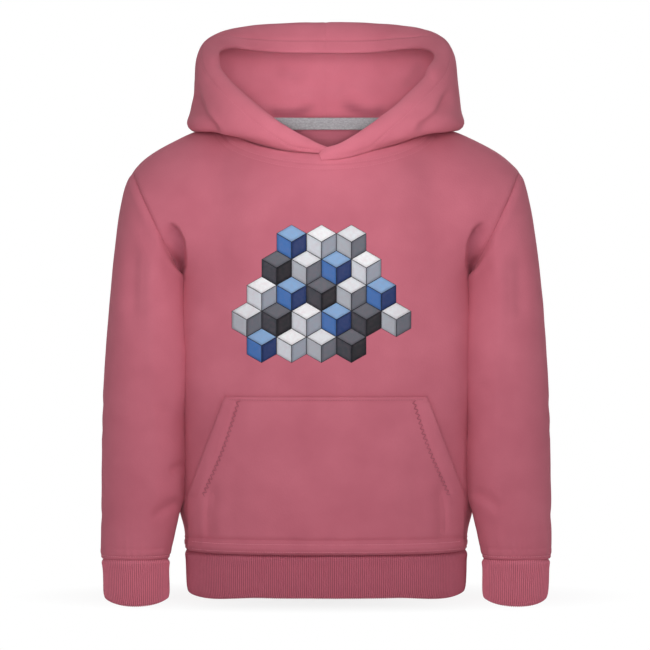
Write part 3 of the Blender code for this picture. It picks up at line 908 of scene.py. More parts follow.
class Shading:
    """A node material under construction, with short ways to add and join nodes."""

    def __init__(self, name, roughness, sheen=0.0, sheen_tint=(1, 1, 1, 1)):
        self.material = bpy.data.materials.new(name)
        self.material.use_nodes = True
        self.tree = self.material.node_tree
        self.shader = self.tree.nodes["Principled BSDF"]
        self.shader.inputs["Roughness"].default_value = roughness
        self.shader.inputs["Specular IOR Level"].default_value = 0.2
        self.shader.inputs["Sheen Weight"].default_value = sheen
        self.shader.inputs["Sheen Roughness"].default_value = 0.6
        self.shader.inputs["Sheen Tint"].default_value = sheen_tint
        self.place = self.tree.nodes.new("ShaderNodeTexCoord").outputs["Object"]

    def put(self, socket, value):
        """Links a node's input to an output, or gives it a plain value."""
        if isinstance(value, bpy.types.NodeSocket):
            self.tree.links.new(value, socket)
        else:
            socket.default_value = value

    def node(self, kind, **inputs):
        node = self.tree.nodes.new(kind)
        for key, value in inputs.items():
            self.put(node.inputs[key.replace("_", " ")], value)
        return node

    def attribute(self, name):
        """A value that the mesh holds for each vertex."""
        node = self.node("ShaderNodeAttribute")
        node.attribute_name = name
        return node.outputs["Fac"]

    def stretched(self, scale):
        """The place, scaled by a factor for each axis."""
        return self.node("ShaderNodeMapping", Vector=self.place, Scale=scale).outputs["Vector"]

    def noise(self, size, detail=2.0, stretch=(1, 1, 1)):
        """Noise whose blots are about size metres across."""
        node = self.node(
            "ShaderNodeTexNoise", Vector=self.stretched(stretch), Scale=1 / size, Detail=detail
        )
        return node.outputs["Fac"]

    def tinted(self, amount, dark, light):
        """A colour between two, by an amount from 0 to 1."""
        mix_node = self.node("ShaderNodeMix")
        mix_node.data_type = "RGBA"
        for number, value in ((0, amount), (6, dark), (7, light)):
            self.put(mix_node.inputs[number], value)
        return mix_node.outputs[2]

    def spread(self, value, low, high):
        """Stretches a value so that low gives 0 and high gives 1."""
        node = self.node("ShaderNodeMapRange", Value=value, From_Min=low, From_Max=high)
        return node.outputs["Result"]

    def bump(self, layers):
        """Bumps laid over each other; each layer is a height, a strength and a depth in metres."""
        normal = None
        for height, strength, depth in layers:
            node = self.node("ShaderNodeBump", Height=height, Strength=strength, Distance=depth)
            if normal:
                self.tree.links.new(normal, node.inputs["Normal"])
            normal = node.outputs["Normal"]
        self.tree.links.new(normal, self.shader.inputs["Normal"])

    def finish(self, base):
        self.tree.links.new(base, self.shader.inputs["Base Color"])
        return self.material


def fleece_material(name, folded=False):
    """Sweatshirt jersey: fine upright stitches, a little fuzz and faintly mottled dye; when folded,
    shade painted into its folds.
    """
    dark, light = tones(name)
    shading = Shading(name, 0.9, sheen=0.12, sheen_tint=colour(255, 205, 215))
    stitches = shading.noise(0.0011, 1.0, (1.0, 1.0, 0.45))
    fuzz = shading.noise(0.0024, 3.0)
    mottle = shading.noise(0.045, 2.0)
    base = shading.tinted(shading.spread(mottle, 0.2, 0.8), dark, light)
    base = shading.tinted(shading.spread(stitches, -1.4, 1.2), dark, base)
    # When folded, painted shade darkens the colour in folds, as far as each vertex is marked.
    if folded:
        base = shading.tinted(shading.attribute("painted_fold_shade"), base, colour(*PAINTED_FOLD_SHADE))
    shading.bump(((fuzz, 0.25, 0.0004), (stitches, 0.45, 0.0003)))
    return shading.finish(base)


def rib_material(name):
    """Rib knit: the ribs are modelled, so this adds the rows of stitches across them, and shade
    painted into the valleys between ribs.
    """
    dark, light = tones(name)
    shading = Shading(name, 0.92, sheen=0.1, sheen_tint=colour(255, 200, 210))
    rows = shading.noise(0.0011, 1.0, (0.5, 0.5, 1.2))
    mottle = shading.noise(0.006, 3.0)
    base = shading.tinted(shading.spread(mottle, -0.4, 0.8), dark, light)
    base = shading.tinted(shading.spread(rows, -1.0, 1.4), dark, base)
    # Painted shade: a darker colour for the valleys between ribs.
    painted_valley_shade = tuple(0.62 * part for part in dark[:3]) + (1.0,)
    base = shading.tinted(shading.spread(shading.attribute("rib_height"), 0.0, 0.75), painted_valley_shade, base)
    shading.bump(((mottle, 0.2, 0.0006), (rows, 0.5, 0.0003)))
    return shading.finish(base)


def heather_material(name):
    """Grey marl tape: short dark and pale fibres in a mid grey."""
    dark, middle, light = tones(name)
    shading = Shading(name, 0.88, sheen=0.1)
    fibres = shading.noise(0.0013, 2.0, (0.22, 1.0, 1.3))
    specks = shading.noise(0.0010, 1.0, (0.4, 1.0, 1.0))
    base = shading.tinted(shading.spread(fibres, 0.15, 0.70), dark, middle)
    base = shading.tinted(shading.spread(specks, 0.45, 0.95), base, light)
    weave = shading.noise(0.0009, 1.0, (1.0, 1.0, 1.6))
    shading.bump(((fibres, 0.3, 0.0004), (weave, 0.5, 0.0003)))
    return shading.finish(base)


def film_material(name, base_colour, shade_colour):
    """Printed film: smoother than the cloth, with the cloth's grain faintly showing through."""
    shading = Shading(name, 0.55)
    grain = shading.noise(0.0013, 2.0, (1.0, 1.0, 0.6))
    wear = shading.noise(0.004, 3.0)
    base = shading.tinted(shading.spread(wear, 0.35, 0.8), base_colour, shade_colour)
    shading.bump(((wear, 0.15, 0.0004), (grain, 0.3, 0.0002)))
    return shading.finish(base)


def thread_material(name):
    """Sewing thread: a slight gloss and a twist along it."""
    dark, light = tones(name)
    shading = Shading(name, 0.6, sheen=0.15)
    twist = shading.noise(0.0005, 1.0)
    base = shading.tinted(twist, dark, light)
    shading.bump(((twist, 0.4, 0.0001),))
    return shading.finish(base)


def direct_view(tree):
    """One for what the camera sees, also in a mirror or through glass, and otherwise zero."""
    rays = tree.nodes.new("ShaderNodeLightPath")
    direct = rays.outputs["Is Camera Ray"]
    for name in ("Is Glossy Ray", "Is Transmission Ray"):
        either = tree.nodes.new("ShaderNodeMath")
        either.operation = "MAXIMUM"
        tree.links.new(direct, either.inputs[0])
        tree.links.new(rays.outputs[name], either.inputs[1])
        direct = either.outputs[0]
    return direct


def floor_material():
    """Pale floor that keeps the shadow near the object and is plain white further off."""
    shading = Shading("floor_paper", 0.8)
    shading.shader.inputs["Base Color"].default_value = colour(243, 242, 243)
    shading.bump(((shading.noise(0.02, 3.0), 0.05, 0.001),))
    away = shading.node("ShaderNodeVectorMath")
    away.operation = "DISTANCE"
    shading.put(away.inputs[0], shading.stretched(FLOOR_STRETCH))
    shading.put(away.inputs[1], FLOOR_CENTRE)
    share = shading.node("ShaderNodeMath")
    share.operation = "MULTIPLY"
    shading.put(share.inputs[0], shading.spread(away.outputs["Value"], *FLOOR_FADE))
    shading.put(share.inputs[1], direct_view(shading.tree))
    white = shading.node("ShaderNodeEmission", Color=(1, 1, 1, 1), Strength=1.0)
    blend = shading.node("ShaderNodeMixShader", Fac=share.outputs[0])
    shading.put(blend.inputs[1], shading.shader.outputs["BSDF"])
    shading.put(blend.inputs[2], white.outputs["Emission"])
    surface = shading.tree.nodes["Material Output"].inputs["Surface"]
    shading.put(surface, blend.outputs["Shader"])
    return shading.material


def world_light():
    """Even light from all round, behind a backdrop that the camera sees as white."""
    world = bpy.data.worlds.new("studio")
    bpy.context.scene.world = world
    world.use_nodes = True
    tree = world.node_tree
    background = tree.nodes["Background"]
    background.inputs["Color"].default_value = (1, 1, 1, 1)
    level = tree.nodes.new("ShaderNodeMapRange")
    tree.links.new(direct_view(tree), level.inputs["Value"])
    level.inputs["To Min"].default_value = AMBIENT
    level.inputs["To Max"].default_value = 1.0
    tree.links.new(level.outputs["Result"], background.inputs["Strength"])


def add_lamp(name, place, target, size, power, cone=None):
    """A disk lamp, or a spot lamp if it has a cone, in degrees."""
    light = bpy.data.lights.new(name, "SPOT" if cone else "AREA")
    if cone:
        light.spot_size = math.radians(cone)
        light.spot_blend = 0.9
        light.shadow_soft_size = size
    else:
        light.shape = "DISK"
        light.size = size
    light.energy = power
    lamp = placed(name, light)
    lamp.location = place
    lamp.rotation_euler = (Vector(target) - Vector(place)).to_track_quat("-Z", "Y").to_euler()
    lamp.visible_camera = False


def studio():
    """The camera, the lamps and the floor."""
    data = bpy.data.cameras.new("camera")
    data.sensor_width = SENSOR_WIDTH
    data.lens = SENSOR_WIDTH * CAMERA_DISTANCE / VIEW_WIDTH
    camera = placed("camera", data)
    camera.location = (EYE_X, -CAMERA_DISTANCE, EYE_Z)
    camera.rotation_euler = (math.pi / 2, 0, 0)
    bpy.context.scene.camera = camera
    bpy.context.scene.view_settings.view_transform = "Standard"

    middle = (0, 0, EYE_Z)
    # Columns: name, place, target, size in metres, watts, and a spot's cone in degrees.
    lamps = (
        ("key", (-0.03, -0.85, 0.02), middle, 0.5, 2.5),
        ("front_left", (1.4, -1.4, 0.35), middle, 0.9, 5.4),
        ("front_right", (-1.4, -1.4, 0.35), middle, 0.9, 4.3),
        ("top", (0, 0.1, 1.6), middle, 1.0, 4.4),
        ("left_side", (2.2, 1.2, 0.4), middle, 1.6, 3.2),
        ("right_side", (-2.2, 1.2, 0.4), middle, 1.6, 3.2),
        ("back", (0.3, 2.4, 0.5), middle, 1.6, 30),
        ("hood", (0, -0.45, 0.08), middle, 0.25, 0.3),
        ("lining", (0, -1.3, -0.12), (0, 0.06, 0.060), 0.06, 32, 11),
        ("chest", (0.35, -1.6, -0.1), (0.165, -0.09, -0.14), 0.1, 7, 13),
        ("chest", (-0.35, -1.6, -0.1), (-0.165, -0.09, -0.14), 0.1, 7, 13),
    )
    for lamp in lamps:
        add_lamp(*lamp)
    world_light()

    steps = np.linspace(-FLOOR_REACH, FLOOR_REACH, FLOOR_ROWS)
    places = [(x, y, FLOOR_Z) for y in steps for x in steps]
    new_object("floor", places, grid_quads(FLOOR_ROWS, FLOOR_ROWS), floor_material())


def soft_waves(places, size, seed):
    """Gentle swells about size metres long, between about -1 and 1, the same each run."""
    draw = np.random.default_rng(seed)
    total = np.zeros(len(places))
    for _ in range(7):
        direction = unit(draw.normal(size=3))
        length = size * draw.uniform(0.7, 1.5)
        total += np.sin(places @ direction * math.tau / length + draw.uniform(0, math.tau))
    return total / 3.2


def swells(places, table):
    """All the swells of a table, one over the other."""
    return sum(height * soft_waves(places, size, seed) for height, size, seed in table)


def band(distance, start, end, blur):
    """One between two distances from a seam, easing to zero outside them."""
    return smooth_step((distance - start) / blur + 0.5) * smooth_step((end - distance) / blur + 0.5)


def seam_relief(distance, groove, puff, puff_place, puff_width):
    """A seam sunk into the cloth with a low roll beside it, all in millimetres."""
    mm = distance * 1000
    return (-groove * bell(mm / 1.9) + puff * bell((mm - puff_place) / puff_width)) * 0.001


def hem_relief(distance, sideways, rows, height, rise, side_rise):
    """Cloth over the turned allowance beside a rib: raised, stitched, then ended by a groove."""
    mm = distance * 1000
    rise = mix(rise, side_rise, sideways)
    relief = -1.3 * bell(mm / 1.6) + rise * band(mm, 1.2, height, 3.0)
    relief -= rise * bell((mm - height - 0.8) / 1.7)
    for row in rows:
        relief -= STITCH_DEPTH_MM * bell((mm - row) / STITCH_REACH_MM)
    return relief * 0.001


def gathers(angle, distance, pleats, sway, sways, start, fade, height):
    """Small pleats beside a rib, swaying and fading away from it."""
    wave = np.sin(angle * pleats + sway * np.sin(angle * sways))
    return height * wave * np.exp(-np.maximum(distance - start, 0) / fade)


def body_angle(places):
    return np.arctan2(places[:, 0] / half_chest, -places[:, 1] / half_depth)


def sleeve_angle(places):
    return np.arctan2(places[:, 1] + SLEEVE_FORWARD, np.abs(places[:, 0]) - sleeve_axis_x)


def body_relief(surface):
    """How far each point of the body and sleeves lies off the plain surface."""
    places, normals = surface.places, surface.normals
    at_front, at_back, at_side = seen(places), places[:, [0, 2]], places[:, [1, 2]]
    facing_front = smooth_step(-normals[:, 1] / 0.4)
    facing_back = smooth_step(normals[:, 1] / 0.4)
    on_body, on_sleeve = surface.on(FRONT, BACK), surface.on(SLEEVE)

    armhole = surface.from_seams((FRONT, SLEEVE), (BACK, SLEEVE))
    side_seam = surface.from_seams((FRONT, BACK))
    hem = surface.from_seams((FRONT, WAISTBAND), (BACK, WAISTBAND))
    cuff = surface.from_seams((SLEEVE, CUFF))
    neck = distance_to(places, surface.along(surface.neck_edge()))
    underarm = distance_to(places, underarm_line())

    sleeve_side = seam_relief(armhole, *ARMHOLE_ON_SLEEVE)
    relief = np.where(on_sleeve, sleeve_side, seam_relief(armhole, *ARMHOLE_ON_BODY))
    relief *= 0.15 + 0.85 * smooth_step(np.abs(places[:, 1]) / 0.035)
    top = smooth_step((normals[:, 2] - 0.2) / 0.5)
    out = np.abs(places[:, 0])
    for height, place, reach in SHOULDER_FORMS:
        relief += top * height * bell((out - place) / reach)
    relief += np.where(on_body, seam_relief(side_seam, *SIDE_SEAM), 0)
    relief += np.where(on_sleeve, seam_relief(underarm, *UNDERARM_SEAM), 0)
    sideways = smooth_step((np.abs(normals[:, 0]) - 0.6) / 0.3)
    relief += np.where(on_body, hem_relief(hem, sideways, HEM_STITCH_MM, *WAIST_HEM), 0)
    relief += np.where(on_sleeve, hem_relief(cuff, sideways, HEM_STITCH_MM[:1], *CUFF_HEM), 0)
    neck_mm = neck * 1000
    roll = sum(height * band(neck_mm, *reach) for height, *reach in NECK_ROLLS)
    for row, depth in zip(NECK_STITCH_MM, NECK_STITCH_DEPTHS_MM):
        roll -= depth * bell((neck_mm - row) / STITCH_REACH_MM)
    relief += np.where(on_body, 0.001 * roll, 0)

    for side in (1, -1):
        edge = crease(at_back, pocket_edge(side), 2.0, 2.2, 2.2, (0.01, 0.01))
        relief += facing_front * on_body * edge
    near_body = np.where(on_body, 1.0, bell(armhole / 0.004))
    relief += near_body * facing_front * folds(at_front, ARMPIT_CREASES)
    relief += facing_front * folds(at_front, FRONT_CREASES)
    relief += facing_back * folds(at_back, BACK_CREASES)
    for side in (1, -1):
        outward = smooth_step(side * normals[:, 0] / 0.4)
        inward = smooth_step(-side * normals[:, 0] / 0.4) * (side * places[:, 0] > 0)
        relief += outward * on_sleeve * folds(at_side, OUTER_SLEEVE_CREASES)
        relief += outward * on_body * folds(at_side, BODY_SIDE_CREASES)
        relief += inward * on_sleeve * folds(at_side, INNER_SLEEVE_CREASES)

    calm = smooth_step(np.minimum.reduce((armhole, hem, cuff, neck)) / 0.02)
    relief += calm * swells(places, BODY_SWELLS)
    pleats = gathers(body_angle(places), hem, *BODY_PLEATS)
    relief += np.where(on_body, pleats * band(hem * 1000, 6, 60, 10), 0)
    pleats = gathers(sleeve_angle(places), cuff, *SLEEVE_PLEATS)
    relief += np.where(on_sleeve, pleats * band(cuff * 1000, 5, 60, 8), 0)
    return relief, {"hem": hem, "cuff": cuff, "neck": neck}


def pocket_half(share):
    """Half the pocket's width, share of the way up its slanted edge."""
    bow = POCKET_BOW * math.sin(math.pi * share)
    return half_chest - POCKET_SIDE_INSET - ((POCKET_SLANT_RUN + POCKET_MORE_RUN) * share + bow)


def pocket_edge(side):
    """The pocket's slanted edge in millimetres along X and Z, a little outside its cloth."""
    points = []
    for share in np.linspace(1, 0, 9):
        x = pocket_half(share) + POCKET_DENT_OUTSET
        z = pocket_top_z - POCKET_SLANT_HEIGHT * (1 - share)
        points.append((side * x * 1000, z * 1000))
    return points


def underarm_line():
    """Points close together along the seam on the inner side of both sleeves."""
    rows = as_array(sleeve_rows())
    ring = np.concatenate((rows[:, -2:-1], rows[:, :2]), axis=1)
    across = np.einsum("k,rkc->rc", basis(np.array(0.0))[:3], ring)
    line = spline(with_end_rows(across), np.linspace(0, len(across) - 1, 500))
    return np.vstack((line, line * (-1, 1, 1)))


def panel(surface, relief, name, label, side, material):
    """One panel of body or sleeve as a closed sheet of cloth."""
    used, quads = surface.cut(label, side)
    places, normals, lift = surface.places[used], surface.normals[used], relief[used][:, None]
    outer = places + normals * lift
    inner = places + normals * (lift - FLEECE)
    return closed_sheet(name, outer, inner, quads, material), outer, quads


class Cloth:
    """A finished outer face that stitches, the pocket and the print are laid on."""

    def __init__(self, places, quads):
        self.tree = BVHTree.FromPolygons(places.tolist(), quads.tolist())
        corners = places[quads]
        flat = np.cross(corners[:, 2] - corners[:, 0], corners[:, 3] - corners[:, 1])
        normals = np.zeros_like(places)
        for corner in range(4):
            np.add.at(normals, quads[:, corner], flat)
        self.normals = unit(normals)
        self.places, self.quads = places, quads

    def smooth_normal(self, place, face):
        corners = self.quads[face]
        weights = 1 / (np.linalg.norm(self.places[corners] - np.array(place), axis=1) + 1e-5)
        return unit((self.normals[corners] * weights[:, None]).sum(axis=0))

    def cast(self, origin, direction):
        place, _, face, _ = self.tree.ray_cast(Vector(origin), Vector(direction))
        if place is None:
            place, _, face, _ = self.tree.find_nearest(Vector(origin) + Vector(direction) * 0.1)
        return np.array(place), self.smooth_normal(place, face)

    def nearest(self, point):
        place, _, face, _ = self.tree.find_nearest(Vector(point))
        return np.array(place), self.smooth_normal(place, face)

    def from_camera(self, x, z):
        """Where the camera's ray through a point of the seen plane meets the cloth."""
        eye = Vector((EYE_X, -CAMERA_DISTANCE, EYE_Z))
        return self.cast(eye, (Vector((x, 0, z)) - eye).normalized())


def mark_painted_shade(piece, table):
    """Stores how much shade to paint on each vertex, from the folds of a table."""
    return mark(piece, "painted_fold_shade", folds(seen(read(piece.data.vertices, "co", 3)), table))


def rib_band(name, rings, upper, height, material, inset=0.0, sag=0.0):
    """A doubled rib band: ribs run down its outside, round its fold and up its inside."""
    rows = with_end_rows(rings, first=upper)
    smooth = np.swapaxes(wrapped(spline(rows, np.linspace(0, len(rings) - 1, RIB_LEVELS))), 0, 1)
    middle = smooth[:, RIB_LEVELS // 2]
    size = rings.shape[1]
    fine = np.linspace(0, size, 40 * size + 1)
    run = run_along(spline(middle, fine))
    columns = round(run[-1] / RIB_PITCH) * RIB_SAMPLES
    grid = spline(smooth, np.interp(np.arange(columns) / columns * run[-1], run, fine))
    radius = RIB / 2
    stations = np.concatenate((
        RIB_TOP_STATIONS,
        np.linspace(0.009, 1, 13) * (height - radius - 0.001),
    ))
    stations = np.unique(stations)
    outer = np.stack([
        at_runs(stations * (length[-1] - radius) / stations[-1], length, line)
        for length, line in zip(run_along(grid), grid)
    ])
    outward = smooth_step((np.abs(outer[:, -1, 0]) - 0.075) / 0.070)
    outer[..., 2] -= sag * outward[:, None] * (stations / stations[-1])
    down = unit(np.gradient(outer, axis=1))
    around = unit(np.roll(outer, -1, axis=0) - np.roll(outer, 1, axis=0))
    normals = unit(np.cross(down, around))
    centre = outer.mean(axis=(0, 1))
    if (normals * (outer - centre)).sum() < 0:
        normals *= -1
    phase = np.arange(columns) / RIB_SAMPLES
    ridge = RIB_RELIEF * (np.abs(np.sin(np.pi * phase)) - 0.5)
    tuck = -0.0018 * bell(stations / 0.0024) + 0.0003 * bell((stations - 0.006) / 0.003) - inset
    lean = swells(outer.reshape(-1, 3), RIB_SWELLS).reshape(columns, -1)
    grown = ridge[:, None] * smooth_step(stations / 0.006)
    section = [outer + normals * (grown + tuck + lean)[..., None]]
    base = outer[:, -1] + normals[:, -1] * (tuck[-1] + lean[:, -1:])
    turn = base - normals[:, -1] * radius
    section += half_turn(turn, normals[:, -1], down[:, -1], radius + ridge[:, None])
    inner_rows = np.linspace(len(stations) - 1, 0, 9).round().astype(int)
    depth = RIB + ridge[:, None, None] * 0.6
    inward = (tuck + lean)[:, inner_rows, None] - depth
    section.append(outer[:, inner_rows] + normals[:, inner_rows] * inward)
    section = np.concatenate(section, axis=1)
    piece = loop_solid(name, section, material, ring=True)
    # Rib heights, by which the material paints shade into the valleys.
    heights = np.broadcast_to((ridge / RIB_RELIEF + 0.5)[:, None], section.shape[:2])
    return mark(piece, "rib_height", heights)


class HoodHalf:
    """One half of the hood: its outer surface and the places down from its rim."""

    def __init__(self, side, tip, lap_lift):
        self.side, self.lap_lift = side, lap_lift
        rows = spline(with_end_rows(ringed(hood_rows())), np.linspace(0, len(HOOD_SHARES), 113))
        columns = rows.shape[1]
        reach = np.arange(-3, columns // 2 + 3) % columns
        patch = np.swapaxes(rows[:, reach], 0, 1)
        fine = np.linspace(2 - HOOD_TIP_COLUMNS, 2 + columns // 2, 900)
        base_run = run_along(spline(patch[:, 0], fine))
        base_run -= np.interp(2.0, fine, base_run)
        mixed_run = base_run - base_run[0] + run_along(spline(patch[:, -1], fine))
        first = np.interp(-tip, base_run, fine)
        begin = np.interp(first, fine, mixed_run)
        easing = np.linspace(0, 1, HOOD_COLUMNS)
        easing = 0.15 * easing**2 + 0.85 * easing
        params = np.interp(begin + easing * (mixed_run[-1] - begin), mixed_run, fine)
        grid = spline(patch, params)
        self.along = np.interp(params, fine, base_run)
        self.shape_front(grid, tip)
        self.sample(grid)

    def shape_front(self, grid, tip):
        """Narrows the front to a rounded tip, low on the lap side, in front of the other half."""
        spots, shares = np.array(HOOD_TAPER_OVER if self.lap_lift else HOOD_TAPER_UNDER).T
        taper = np.interp(self.along, spots, shares)
        for _ in range(3):
            taper[1:-1] = (taper[:-2] + 2 * taper[1:-1] + taper[2:]) / 4
        base = grid[:, :1].copy()
        grid[:] = base + (grid - base) * taper[:, None, None]
        near = smooth_step(1 - np.maximum(self.along, 0) / HOOD_LAP_RUN)
        if self.lap_lift:
            grid[..., 2] -= (HOOD_LAP_DROP * near**1.5)[:, None]

    def sample(self, grid):
        """Resamples each column by length, rim first, with a fold's width in close steps."""
        places = grid[:, ::-1]
        runs = run_along(places)
        away = np.linalg.norm(np.abs(seen(places[:, 0])) - HOOD_CORNER, axis=1)
        cut = HOOD_CORNER_CUT * bell(away / HOOD_CORNER_REACH)
        rim_x, rim_z = np.abs(places[:, 0, 0]), places[:, 0, 2]
        above = smooth_step((0.110 - rim_x) / 0.03) * smooth_step((rim_z - 0.045) / 0.02)
        self.length = runs[:, -1] - cut
        self.thick = HOOD_EDGE_THICKNESS * np.clip(self.length / 0.014, 0.25, 1)
        self.fold = np.minimum(HOOD_HEM * (1 - HOOD_HEM_LESS * above), 0.80 * self.length)
        shares = np.linspace(0, 1, HOOD_HEM_ROWS + 1)
        rest = np.linspace(0, 1, HOOD_BODY_ROWS + 1)[1:]
        radius = self.thick / 2
        self.spots = np.concatenate((
            radius[:, None] + (self.fold - radius)[:, None] * shares,
            self.fold[:, None] + (self.length - self.fold)[:, None] * rest,
        ), axis=1)
        self.places = np.stack([
            at_runs(spots + less, run, line)
            for spots, less, run, line in zip(self.spots, cut, runs, places)
        ])
        if self.side < 0:
            self.places[..., 0] *= -1
        around = np.gradient(self.places, axis=0)
        down = np.gradient(self.places, axis=1)
        self.up = unit(-down)
        self.normals = unit(np.cross(around, down))
        if self.normals[-1, len(rest) // 2, 1] < 0:
            self.normals *= -1

    def relief(self):
        """How far the cloth lies off the plain surface, in metres."""
        flat = self.places.reshape(-1, 3)
        spots_mm = self.spots * 1000
        ends_mm = (self.length[:, None] - self.spots) * 1000
        centre_mm = np.abs(self.places[..., 0]) * 1000
        behind = self.places[..., 1] > 0
        away = ends_mm / np.clip(self.length[:, None] / 0.03, 0.2, 1)
        mm = -1.1 * bell(away / 2.4) + 0.5 * bell((away - 6) / 4)
        seam = -0.3 * bell(centre_mm / 1.2) + 0.15 * bell((centre_mm - 5) / 3.5)
        mm += np.where(behind, seam, 0)
        wide = smooth_step(self.fold / HOOD_HEM * 3 - 1)[:, None]
        hem = self.fold[:, None] * 1000
        mm += wide * (
            0.7 * band(spots_mm, 1.5, hem - 1.5, 4.0) - 1.1 * bell((spots_mm - hem + 1.6) / 1.3)
        )
        total = mm * 0.001
        normals = self.normals.reshape(-1, 3)
        facing, rear = smooth_step(-normals[:, 1] / 0.3), smooth_step(normals[:, 1] / 0.3)
        flank = smooth_step(np.abs(normals[:, 0]) / 0.4)
        extra = np.maximum(facing, 0.35) * folds(seen(flat), HOOD_FRONT_CREASES)
        extra += rear * folds(flat[:, [0, 2]], HOOD_BACK_CREASES)
        extra += flank * folds(flat[:, [1, 2]], HOOD_SIDE_CREASES)
        extra += swells(flat, HOOD_SWELLS)
        tame = smooth_step(self.length / 0.05)[:, None]
        total += extra.reshape(total.shape) * tame
        if self.lap_lift:
            near = smooth_step(1.25 - np.maximum(self.along, 0) / HOOD_LAP_RUN)
            total += (HOOD_LAP_LIFT * near)[:, None]
        return total

    def shell(self, name, material):
        """The outer layer, turned in over its rim to make the hem."""
        outer = self.places + self.normals * self.relief()[..., None]
        radius = (self.thick / 2)[:, None]
        centre = outer[:, 0] - self.normals[:, 0] * radius
        turn = half_turn(centre, self.normals[:, 0], self.up[:, 0], radius)
        inside = outer - self.normals * self.thick[:, None, None]
        layer = (self.thick * HOOD_SHELL_SHARE)[:, None, None]
        lower = outer - self.normals * layer
        folded = HOOD_HEM_ROWS + 1
        section = (outer[:, ::-1], *turn, inside[:, :folded], lower[:, folded - 1 :])
        self.outer, self.layer = outer, layer
        return loop_solid(name, np.concatenate(section, axis=1), material)

    def lining(self, name, material):
        """The inner layer, from the hem's inner edge down to the neck seam."""
        rows = slice(HOOD_HEM_ROWS, None)
        spots = self.spots[:, rows]
        gap = (spots - spots[:, :1]) * 1000
        dip = (0.9 * bell(gap / 2.0) - 0.5 * bell((gap - 6) / 4)) * 0.001
        scale = (self.thick / HOOD_EDGE_THICKNESS)[:, None]
        first = self.layer + LINING_GAP
        places = self.places[:, rows]
        ends_mm = (self.length[:, None] - spots) * 1000
        bulge = LINING_BULGE * band(ends_mm, 13, 60, 9) * smooth_step(places[..., 1] / 0.03)
        bulge += folds(seen(places.reshape(-1, 3)), LINING_FOLDS).reshape(bulge.shape)
        bulge = np.maximum(bulge, 0) * smooth_step(gap / 8)
        second = first + ((HOOD_LAYER - dip) * scale + bulge)[..., None]
        near = self.outer[:, rows] - self.normals[:, rows] * first
        far = self.outer[:, rows] - self.normals[:, rows] * np.maximum(second, first + 0.0004)
        behind = smooth_step((far[:, -1:, 1:2] + 0.01) / 0.03)
        drop = (LINING_GAP + LINING_TAIL * behind) * np.array((0, 0, -1))
        near = np.concatenate((near[:, 1:], near[:, -1:] + drop), axis=1)
        far = np.concatenate((far[:, 1:], far[:, -1:] + drop), axis=1)
        section = np.concatenate((near[:, ::-1], far), axis=1)
        # Painted shade in the lining's folds, just above the neck seam.
        return mark_painted_shade(loop_solid(name, section, material), LINING_SHADES)

    def stitch_line(self):
        """Places and normals along the hem's stitching, on the outer face."""
        row = HOOD_HEM_ROWS - 1
        wide = self.length > 0.018
        return self.outer[wide, row], self.normals[wide, row]


def laid_sheet(name, outer, inner, material):
    """A closed sheet between two grids of places, top row first, and its outer face."""
    quads = grid_quads(*outer.shape[:2])[:, [0, 3, 2, 1]]
    outer, inner = outer.reshape(-1, 3), inner.reshape(-1, 3)
    return closed_sheet(name, outer, inner, quads, material), Cloth(outer, quads)


def pocket_piece(cloth, material):
    """The pocket, laid on the front; its slanted edges are rolled and open."""
    top_z, slant_z = pocket_top_z, pocket_slant_z
    bottom_z = hem_seam_z + POCKET_FOOT_MM * 0.001
    outer = np.empty((POCKET_ROWS, POCKET_COLUMNS, 3))
    inner = np.empty_like(outer)
    across = np.linspace(-1, 1, POCKET_COLUMNS)
    across = np.sign(across) * (1 - (1 - np.abs(across)) ** 1.25)
    for row, z in enumerate(np.linspace(top_z, bottom_z, POCKET_ROWS)):
        share = np.clip((z - slant_z) / (top_z - slant_z), 0, 1)
        half = pocket_half(share)
        slanting = smooth_step((z - slant_z) / 0.006) * smooth_step((top_z - z) / 0.006)
        height = (z - bottom_z) / (top_z - bottom_z)
        # Distances from the pocket's edges, in millimetres.
        top, low = (top_z - z) * 1000, (z - bottom_z) * 1000
        top_hem = 0.9 * band(top, 0, 2.4, 1.2) - 1.5 * bell((top - 3.5) / 1.2)
        foot = -0.9 * bell(low / 1.8) + 1.1 * band(low, 1.0, 13.0, 3.0)
        foot -= 1.6 * bell((low - 13.8) / 1.8)
        for stitch in HEM_STITCH_MM:
            foot -= STITCH_DEPTH_MM * bell((low + POCKET_FOOT_MM - stitch) / STITCH_REACH_MM)
        for column, u in enumerate(across):
            place, normal = cloth.cast((half * u, -CHEST_DEPTH, z), (0, 1, 0))
            edge = half * (1 - abs(u)) * 1000
            slack = POCKET_SLACK * math.sin(math.pi * height) * (1 - u**6)
            gape = POCKET_GAPE * slanting * bell(edge / POCKET_GAPE_REACH_MM)
            lift = POCKET_STANDOFF + slack + gape * math.sin(math.pi * share)
            opening = slanting * (band(edge, 0, 14.0, 3.0) - 0.9 * bell((edge - 15.8) / 3.4))
            side_hem = -0.5 * bell((edge - 2.4) / 1.1) * (1 - slanting)
            rise = 0.001 * (opening + top_hem + side_hem + foot)
            rounding = min(1.0, max(0.0, min(edge, top + 0.3)) / POCKET_RIM_REACH_MM)
            fullness = math.sqrt(1 - (1 - rounding) ** 2)
            thick = FLEECE * mix(POCKET_RIM_THICKNESS_SHARE, 1, fullness)
            outer[row, column] = place + normal * (lift + thick + rise * rounding)
            inner[row, column] = place + normal * lift
    flat = outer.reshape(-1, 3)
    forward = folds(seen(flat), POCKET_CREASES) + swells(flat, POCKET_SWELLS)
    forward *= smooth_step((flat[:, 2] - bottom_z) / 0.012)
    outer[..., 1] -= forward.reshape(outer.shape[:2])
    return laid_sheet("kangaroo_pocket_cloth", outer, inner, material)


